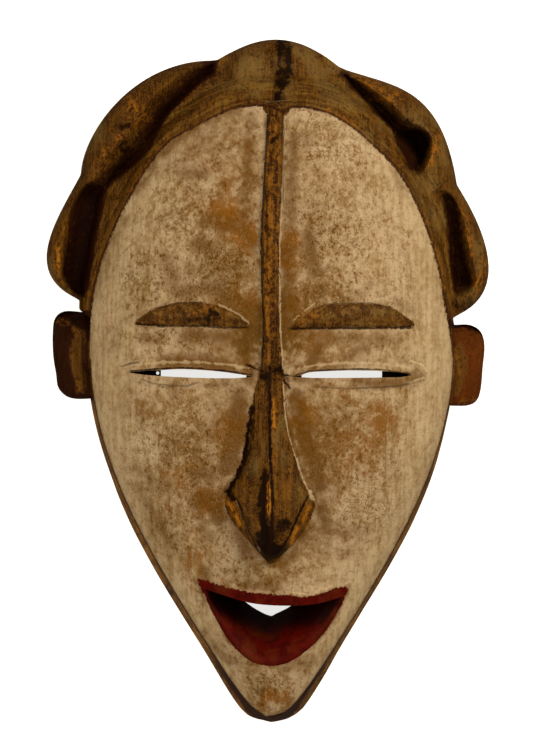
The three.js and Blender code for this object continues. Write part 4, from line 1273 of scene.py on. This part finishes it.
# Layers of colour in each stack, each over what is already there: what it follows, where that starts and is
# full, what it is also multiplied by, its strength, and its colour or the stack it brings in.
LAYERS = {
    "paint": (
        ("cloud", 0.42, 0.62, "", 0.35, "9a7c50"), ("grain", 0.5, 0.7, "", 0.4, "8c6c3c"),
        ("blotch", 0.5, 0.64, "", 0.35, "cdbca0"), ("streak", 0.5, 0.38, "face_edge", 0.45, "cbb48c"),
        # The grime marks' rows darken the paint both with grime and with painted shade.
        ("streak", 0.5, 0.7, "face_edge", 0.35, "86673a"), ("grime", 0.1, 1, "", 0.5, "7a5a28"),
        ("haze_grime_and_shade", 1.2, 2.2, "", 0.6, "84653a"), ("patch_grime_and_shade", 1.35, 2.4, "", 0.4, "6b491c"),
        # The soft soiling rows darken the paint with painted shade, with some soiling.
        ("haze", 0.47, 0.62, "", 0.35, "8a6a3a"), ("patch_soil_and_shade", 1.4, 2.2, "", 0.45, "543413"),
        # The brown haze's rows also lay painted shade under the brows and beside the ridge.
        ("stain", 0.05, 0.9, "", 0.6, "stain"), ("rust", 0.1, 0.9, "", 0.7, "8a510d"),
        ("stain_and_shade_rag", 2.3, 3.4, "", 0.6, "stain"), ("rust_rag", 1.9, 2.8, "", 0.75, "6f440b"),
        ("streak", 0.5, 0.62, "stain", 0.5, "6f4c1c"), ("grit", 0.46, 0.36, "", 0.3, "75562a"),
        ("patch", 0.52, 0.42, "", 0.22, "c9b795"), ("grit", 0.57, 0.66, "", 0.22, "ddd0b6"),
        ("flake_rag", 1, 1.12, "", 0.5, "67471b"), ("grime", 0.2, 1, "", 0.3, "755726"),
        ("stain", 0.1, 0.9, "", 0.35, "stain"), ("rust", 0.2, 0.9, "", 0.3, "94600c"),
        ("rust_rag", 1.75, 2.3, "", 0.5, "85500a"), ("patch", 0.44, 0.4, "", 0.3, "c2ab86"),
        # Lighter towards the face's outer edges: painted light where the front turns away.
        ("face_edge", 0.72, 1, "", 0.3, "c6ad84"), ("streak", 0.56, 0.4, "face_edge", 0.3, "cbb58c"),
        ("streak", 0.52, 0.64, "face_edge", 0.2, "8c6f40"),
        # Painted shade, with some soiling, in broad soft patches.
        ("patch", 0.53, 0.6, "face_edge", 0.25, "957748"), ("dusk", 0, 1, "", 0.55, "704a10"),
        ("blotch_soil_and_shade", 0.95, 1.75, "", 0.6, "5c3906"), ("blotch_grime_and_shade", 1.25, 1.4, "", 0.35, "6f4d1a"),
        ("patch_grime_and_shade", 1.86, 2.02, "", 0.5, "5e4010"), ("fleck_grime_and_shade", 1.85, 2, "", 0.4, "4a2e0c"),
        ("pit", 0.6, 0.7, "speckle", 0.9, "452a0c"),
        ("flake_edge", 0.014, 0.004, "speckle", 0.55, "d2bd94"),
        ("curl_away", 0.026, 0.01, "curls", 0.85, "553711"),
    ),
    "red": (
        ("blotch", 0.65, 0.35, "", 1, "3c0602"), ("haze", 0.46, 0.64, "", 0.55, "5c260a"),
        # The red painted dark deeper in the mouth: painted shade.
        ("fleck", 0.56, 0.7, "", 0.3, "641f08"), ("throat", 0, 1, "", 0.96, "140201"),
    ),
    "back": (
        ("cloud", 0.35, 0.65, "", 1, "5a3d1e"), ("grain", 0.45, 0.75, "", 0.5, "24130a"),
    ),
    "coat": (
        ("cloud", 0.6, 0.38, "", 0.9, "coat_dark"), ("grain", 0.5, 0.64, "", 0.75, "734c12"),
        ("grain", 0.47, 0.36, "", 0.6, "1f0d02"), ("streak", 0.5, 0.6, "body", 0.75, "8f5c18"),
        ("patch", 0.54, 0.64, "body", 0.5, "8f5c18"), ("streak", 0.5, 0.4, "body", 0.8, "200b02"),
        ("blotch", 0.49, 0.41, "body", 0.85, "200b02"), ("blotch", 0.5, 0.66, "", 0.6, "241002"),
        ("rim", 0, 1.2, "", 0.9, "a87530"), ("haze", 0.48, 0.62, "rim", 0.6, "8a6634"),
        ("cloud", 0.5, 0.38, "rim", 0.65, "4a2a0c"), ("blotch", 0.5, 0.38, "rim", 0.7, "2a1205"),
        # Greyer where dust lies, and painted highlight on the coiffure's right side and the lobes' rims.
        ("patch", 0.54, 0.66, "rim", 0.5, "a8793a"), ("haze", 0.35, 0.6, "grey", 0.75, "7b6234"),
        ("combed", 0.5, 0.64, "hair", 0.45, "8a6a2c"), ("combed", 0.48, 0.36, "hair", 0.5, "2c1503"),
        ("streak", 0.48, 0.36, "", 0.4, "2c1503"), ("grit", 0.48, 0.66, "", 0.4, "7e5620"),
        # The left ear painted dark and the right one lighter: painted shade and painted light, as from a
        # lamp on the right.
        ("ear_left", 0, 1, "", 0.9, "240a02"), ("ear_right", 0, 1, "", 0.75, "5c2806"),
        # The half-moon facet painted lighter: painted light where it faces the front.
        ("facet", 0, 1, "", 0.5, "654214"), ("patch", 0.48, 0.62, "brow", 0.4, "8d6c38"),
        ("blotch", 0.52, 0.4, "brow", 0.65, "2c1302"), ("patch", 0.44, 0.58, "worn", 1, "worn_wood"),
        ("worn", 1, 1.3, "", 0.8, "b4731d"), ("fleck", 0.5, 0.6, "worn", 0.45, "3a1c05"),
        ("fleck", 0.56, 0.66, "", 0.65, "1a0a02"), ("smoke_rag", 1.4, 1.9, "", 0.95, "100400"),
        ("paint_rag", 1, 1.5, "", 1, "paint"), ("lip_rag", 1.3, 1.8, "", 1, "red"),
        # Painted highlights, with kaolin, along edges that face the light.
        ("light_rag", 4.5, 3.7, "light_near", 0.9, "cdb68f"),
        # Painted shade, with grime, along creases and under raised edges.
        ("dark_rag", 4.5, 3.7, "dark_near", 1, "1c0a02"),
        # Painted shadow, with dirt, along the paint's edge, strongest under the hair's step.
        ("hairline_rag", 2.5, 1.7, "paint_edge", 0.8, "311408"),
        # Painted shade, with grime, in the coiffure's valleys.
        ("valley_rag", 1.25, 2.05, "", 0.96, "2a1006"), ("back", 0, 1, "", 1, "back"),
        # Painted shade, near black, on the walls of the slits and holes.
        ("cut", 0, 1, "", 1, "0d0502"),
    ),
}
# Roughness: share of a pattern and level, and what the paint adds. Relief: shares of two patterns.
SHEEN = (0.16, 0.44)
PAINT_MATT = 0.3
GRAIN_RELIEF = 0.35
FLECK_RELIEF = 0.5


def new_material(name):
    """A material with an empty node tree."""
    made = bpy.data.materials.new(name)
    made.use_nodes = True
    made.node_tree.nodes.clear()
    return made


def set_surface(tree, inputs):
    """Gives a node tree its one shader."""
    shader = add(tree, "ShaderNodeBsdfPrincipled", inputs)
    add(tree, "ShaderNodeOutputMaterial", {"Surface": shader.outputs[0]})


def painted_wood(colours):
    """Carved softwood under old kaolin paint and a dark, handled coat.

    The kaolin is chalky and quite matt, thin enough for the grain to show in streaks, and rubbed through in
    flecks. The dark coat is a smoky brown with a low sheen, worn to orange wood on edges.
    """
    made = new_material("painted_softwood")
    tree = made.node_tree

    def maths(operation, *inputs):
        return add(tree, "ShaderNodeMath", dict(enumerate(inputs)), operation=operation).outputs[0]

    def read(name):
        if name not in value:
            value[name] = add(tree, "ShaderNodeAttribute", attribute_name=name).outputs["Fac"]
        return value[name]

    place = add(tree, "ShaderNodeTexCoord").outputs["Object"]
    combed = add(tree, "ShaderNodeAttribute", attribute_name="comb").outputs["Vector"]
    value = {}
    for name, size, detail, stretch in PATTERNS:
        source = combed if name == "combed" else place
        spread = add(tree, "ShaderNodeMapping", {"Vector": source, "Scale": stretch})
        value[name] = add(tree, "ShaderNodeTexNoise", {
            "Vector": spread.outputs[0], "Scale": 1 / (size * MM), "Detail": detail, "Roughness": 0.6,
        }).outputs[0]
    for name, folded, middle in FOLDS:
        value[name] = maths("ABSOLUTE", maths("SUBTRACT", read(folded), middle))
    for name, pattern, gain, mark in RAGGED:
        value[name] = maths("MULTIPLY_ADD", read(pattern), gain, read(mark))
    stack = {"coat": opaque(colours.coat), "paint": opaque(colours.kaolin), "red": opaque(colours.lips),
             "back": srgb("3d2612")}
    amounts = {}
    for target, layers in LAYERS.items():
        for follows, start, full, also, strength, brings in layers:
            amount = add(tree, "ShaderNodeMapRange", {
                "Value": read(follows), "From Min": start, "From Max": full, "To Max": strength,
            }, interpolation_type="SMOOTHSTEP").outputs[0]
            if also:
                amount = maths("MULTIPLY", amount, read(also))
            if brings in stack:
                top = stack[brings]
            else:
                top = opaque(getattr(colours, brings)) if hasattr(colours, brings) else srgb(brings)
            stack[target] = add(tree, "ShaderNodeMix", {0: amount, 6: stack[target], 7: top},
                                data_type="RGBA").outputs[2]
            amounts[follows] = amount
    painted = amounts["paint_rag"]
    sheen = maths("MULTIPLY_ADD", value["blotch"], *SHEEN)
    relief = maths("MULTIPLY_ADD", value["grain"], GRAIN_RELIEF, value["patch"])
    relief = maths("MULTIPLY_ADD", value["fleck"], FLECK_RELIEF, relief)
    missing = maths("ADD", amounts["flake_rag"], amounts["pit"])
    relief = maths("SUBTRACT", relief, maths("MULTIPLY", missing, painted))
    bump = add(tree, "ShaderNodeBump", {"Height": relief, "Strength": 0.55, "Distance": 0.3 * MM})
    set_surface(tree, {
        "Base Color": stack["coat"], "Roughness": maths("MULTIPLY_ADD", painted, PAINT_MATT, sheen),
        "Normal": bump.outputs[0], "IOR": 1.5, "Specular IOR Level": 0.04,
    })
    return made


def pale_paper(colour, glow):
    """Seamless white studio paper: matt, and bright enough to read white even under the mask."""
    made = new_material("studio_paper")
    set_surface(made.node_tree, {
        "Base Color": opaque(colour), "Roughness": 0.9, "Specular IOR Level": 0.1,
        "Emission Color": opaque(colour), "Emission Strength": glow,
    })
    return made


def colour_setting(name, text, hex_colour):
    """A colour in the sidebar."""
    return FloatVectorProperty(name=name, description=text, default=srgb(hex_colour)[:3], subtype="COLOR",
                               min=0, max=1)


class MaskSettings(bpy.types.PropertyGroup):
    """Sizes and colours of the mask."""
    cells_across: IntProperty(name="Cells across", description="Cells of the front's grid across",
                              default=230, min=60, max=240)
    cells_up: IntProperty(name="Cells up", description="Cells of the front's grid from chin to crown",
                          default=316, min=80, max=330)
    crease: FloatProperty(name="Crease angle", description="Edges sharper than this are shaded as creases",
                          default=math.radians(50), subtype="ANGLE")
    kaolin: colour_setting("Kaolin", "Colour of the white face paint", "b8a07e")
    # Also the colour of the painted shade under the brows and beside the ridge.
    stain: colour_setting("Stain", "Colour of the brown haze on the paint", "78531f")
    coat: colour_setting("Coat", "Colour of the dark coat on hair, nose and edges", "5c3b12")
    coat_dark: colour_setting("Dark coat", "The dark coat where it is thickest", "3e2107")
    worn_wood: colour_setting("Worn wood", "Colour of wood where the coat is worn away", "8c5817")
    lips: colour_setting("Lips", "Colour of the red mouth", "530802")


class StudioSettings(bpy.types.PropertyGroup):
    """The camera, lights and paper."""
    lens: FloatProperty(name="Lens", description="Focal length of the camera", default=1000.0,
                        unit="CAMERA")
    height_seen: FloatProperty(name="Height seen", description="Height of the picture at the face",
                               default=0.3752, unit="LENGTH")
    centre: FloatVectorProperty(name="Centre", description="The point in the middle of the picture",
                                default=(-0.00058, 0.00231, 0.040), subtype="XYZ", unit="LENGTH")
    key_power: FloatProperty(name="Key light", description="Power of the large soft light on the right",
                             default=14.0, unit="POWER")
    fill_power: FloatProperty(name="Fill light", description="Power of the soft light on the left",
                              default=5.0, unit="POWER")
    ambient: FloatProperty(name="Ambient", description="Brightness of the pale room", default=0.62, min=0)
    warmth: colour_setting("Light colour", "Colour of the lights and the room", "fff2de")
    paper: colour_setting("Paper", "Colour of the studio paper", "f2f1ee")
    glow: FloatProperty(name="Paper glow", description="Light given off by the paper", default=0.9, min=0)


def add_marks(mesh, co):
    """Writes what the material reads into the mesh, from its vertices in the tables' millimetres."""
    for name, values in face_marks(co).items():
        mesh.attributes.new(name, "FLOAT", "POINT").data.foreach_set("value", values)
    comb = mesh.attributes.new("comb", "FLOAT_VECTOR", "POINT")
    comb.data.foreach_set("vector", comb_places(co).ravel())


def fit_outline(co):
    """Moves the mask to the frame's origin and fits its outline to the plain solid's."""
    placed = np.column_stack([co[:, :2] + BLOCK_SHIFT, co[:, 2]]) * MM
    low, high = (np.array(corner)[:2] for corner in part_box("mask"))
    lowest, highest = placed.min(0)[:2], placed.max(0)[:2]
    placed[:, :2] = low + (placed[:, :2] - lowest) * (high - low) / (highest - lowest)
    return placed


class MASK_OT_build(bpy.types.Operator):
    """Carves and paints the mask in place of the plain solid"""
    bl_idname = "mask.build"
    bl_label = "Build the mask"

    def execute(self, context):
        settings = context.scene.mask_settings
        body = make_block(settings.cells_across, settings.cells_up)
        for name in EARS:
            combine(body, make_ear(name), "UNION")
        for cutter in (make_hollow(), make_mouth(), make_pinhole()):
            combine(body, cutter, "DIFFERENCE")
        for slit in SLITS:
            for cutter in make_slit(*slit):
                combine(body, cutter, "DIFFERENCE")
        mesh = body.data
        co = points(mesh)
        add_marks(mesh, co)
        put(mesh, fit_outline(co))
        mesh.shade_smooth()
        mesh.set_sharp_from_angle(angle=settings.crease)
        mesh.materials.clear()
        mesh.materials.append(painted_wood(settings))
        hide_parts("mask")
        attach(body, "root")
        return {"FINISHED"}


# Lights: name, the setting of their power, place in metres, size.
LIGHTS = (
    ("key_light", "key_power", (0.85, 0.75, 1.15), 0.7),
    ("fill_light", "fill_power", (-1.1, -0.2, 1.0), 1.0),
)
FLOOR_RADIUS = 12.0
# The room is darker below the floor's level.
ROOM_BELOW = 0.25
ROOM_STEP = -0.05
SENSOR_WIDTH = 36.0
CLIP_END = 100.0


class MASK_OT_studio(bpy.types.Operator):
    """Lays the paper and sets the lights and the camera"""
    bl_idname = "mask.studio"
    bl_label = "Set the studio"

    def execute(self, context):
        settings = context.scene.studio_settings
        scene = context.scene
        bm = bmesh.new()
        bmesh.ops.create_circle(bm, cap_ends=True, segments=96, radius=FLOOR_RADIUS)
        floor = mesh_object(bm, "studio_floor")
        floor.data.materials.append(pale_paper(settings.paper, settings.glow))
        floor.visible_diffuse = False
        floor.visible_glossy = False
        for name, power, place, size in LIGHTS:
            light = bpy.data.lights.new(name, "AREA")
            light.energy = getattr(settings, power)
            light.color = settings.warmth
            light.size = size
            made = bpy.data.objects.new(name, light)
            made.location = place
            made.rotation_euler = (-made.location).to_track_quat("-Z", "Y").to_euler()
            scene.collection.objects.link(made)
        scene.world = bpy.data.worlds.new("pale_room")
        scene.world.use_nodes = True
        tree = scene.world.node_tree
        place = add(tree, "ShaderNodeTexCoord").outputs["Generated"]
        turned = add(tree, "ShaderNodeSeparateXYZ", {0: place})
        level = add(tree, "ShaderNodeMapRange", {
            "Value": turned.outputs["Z"], "From Min": ROOM_STEP, "From Max": 0.0,
            "To Min": settings.ambient * ROOM_BELOW, "To Max": settings.ambient,
        })
        back = tree.nodes["Background"]
        back.inputs["Color"].default_value = opaque(settings.warmth)
        tree.links.new(level.outputs[0], back.inputs["Strength"])
        lens = bpy.data.cameras.new("camera")
        lens.lens = settings.lens
        lens.sensor_width = SENSOR_WIDTH
        lens.clip_end = CLIP_END
        camera = bpy.data.objects.new("camera", lens)
        x, y, z = settings.centre
        camera.location = (x, y, z + settings.height_seen * settings.lens / SENSOR_WIDTH)
        scene.collection.objects.link(camera)
        scene.camera = camera
        scene.view_settings.view_transform = "Standard"
        return {"FINISHED"}


class MASK_PT_panel(bpy.types.Panel):
    """The mask's settings in the sidebar"""
    bl_idname = "MASK_PT_panel"
    bl_label = "Carved face mask"
    bl_space_type = "VIEW_3D"
    bl_region_type = "UI"
    bl_category = "Mask"

    def draw(self, context):
        for settings, operator in (
            (context.scene.mask_settings, MASK_OT_build), (context.scene.studio_settings, MASK_OT_studio),
        ):
            for name in settings.__annotations__:
                self.layout.prop(settings, name)
            self.layout.operator(operator.bl_idname)


CLASSES = (MaskSettings, StudioSettings, MASK_OT_build, MASK_OT_studio, MASK_PT_panel)


def register():
    """Adds the settings, operators and panel to Blender."""
    for made in CLASSES:
        bpy.utils.register_class(made)
    bpy.types.Scene.mask_settings = PointerProperty(type=MaskSettings)
    bpy.types.Scene.studio_settings = PointerProperty(type=StudioSettings)


def unregister():
    """Takes them out again."""
    del bpy.types.Scene.studio_settings
    del bpy.types.Scene.mask_settings
    for made in reversed(CLASSES):
        bpy.utils.unregister_class(made)


def main():
    """Builds the mask and its studio."""
    register()
    bpy.ops.mask.build()
    bpy.ops.mask.studio()


if __name__ == "__main__":
    main()
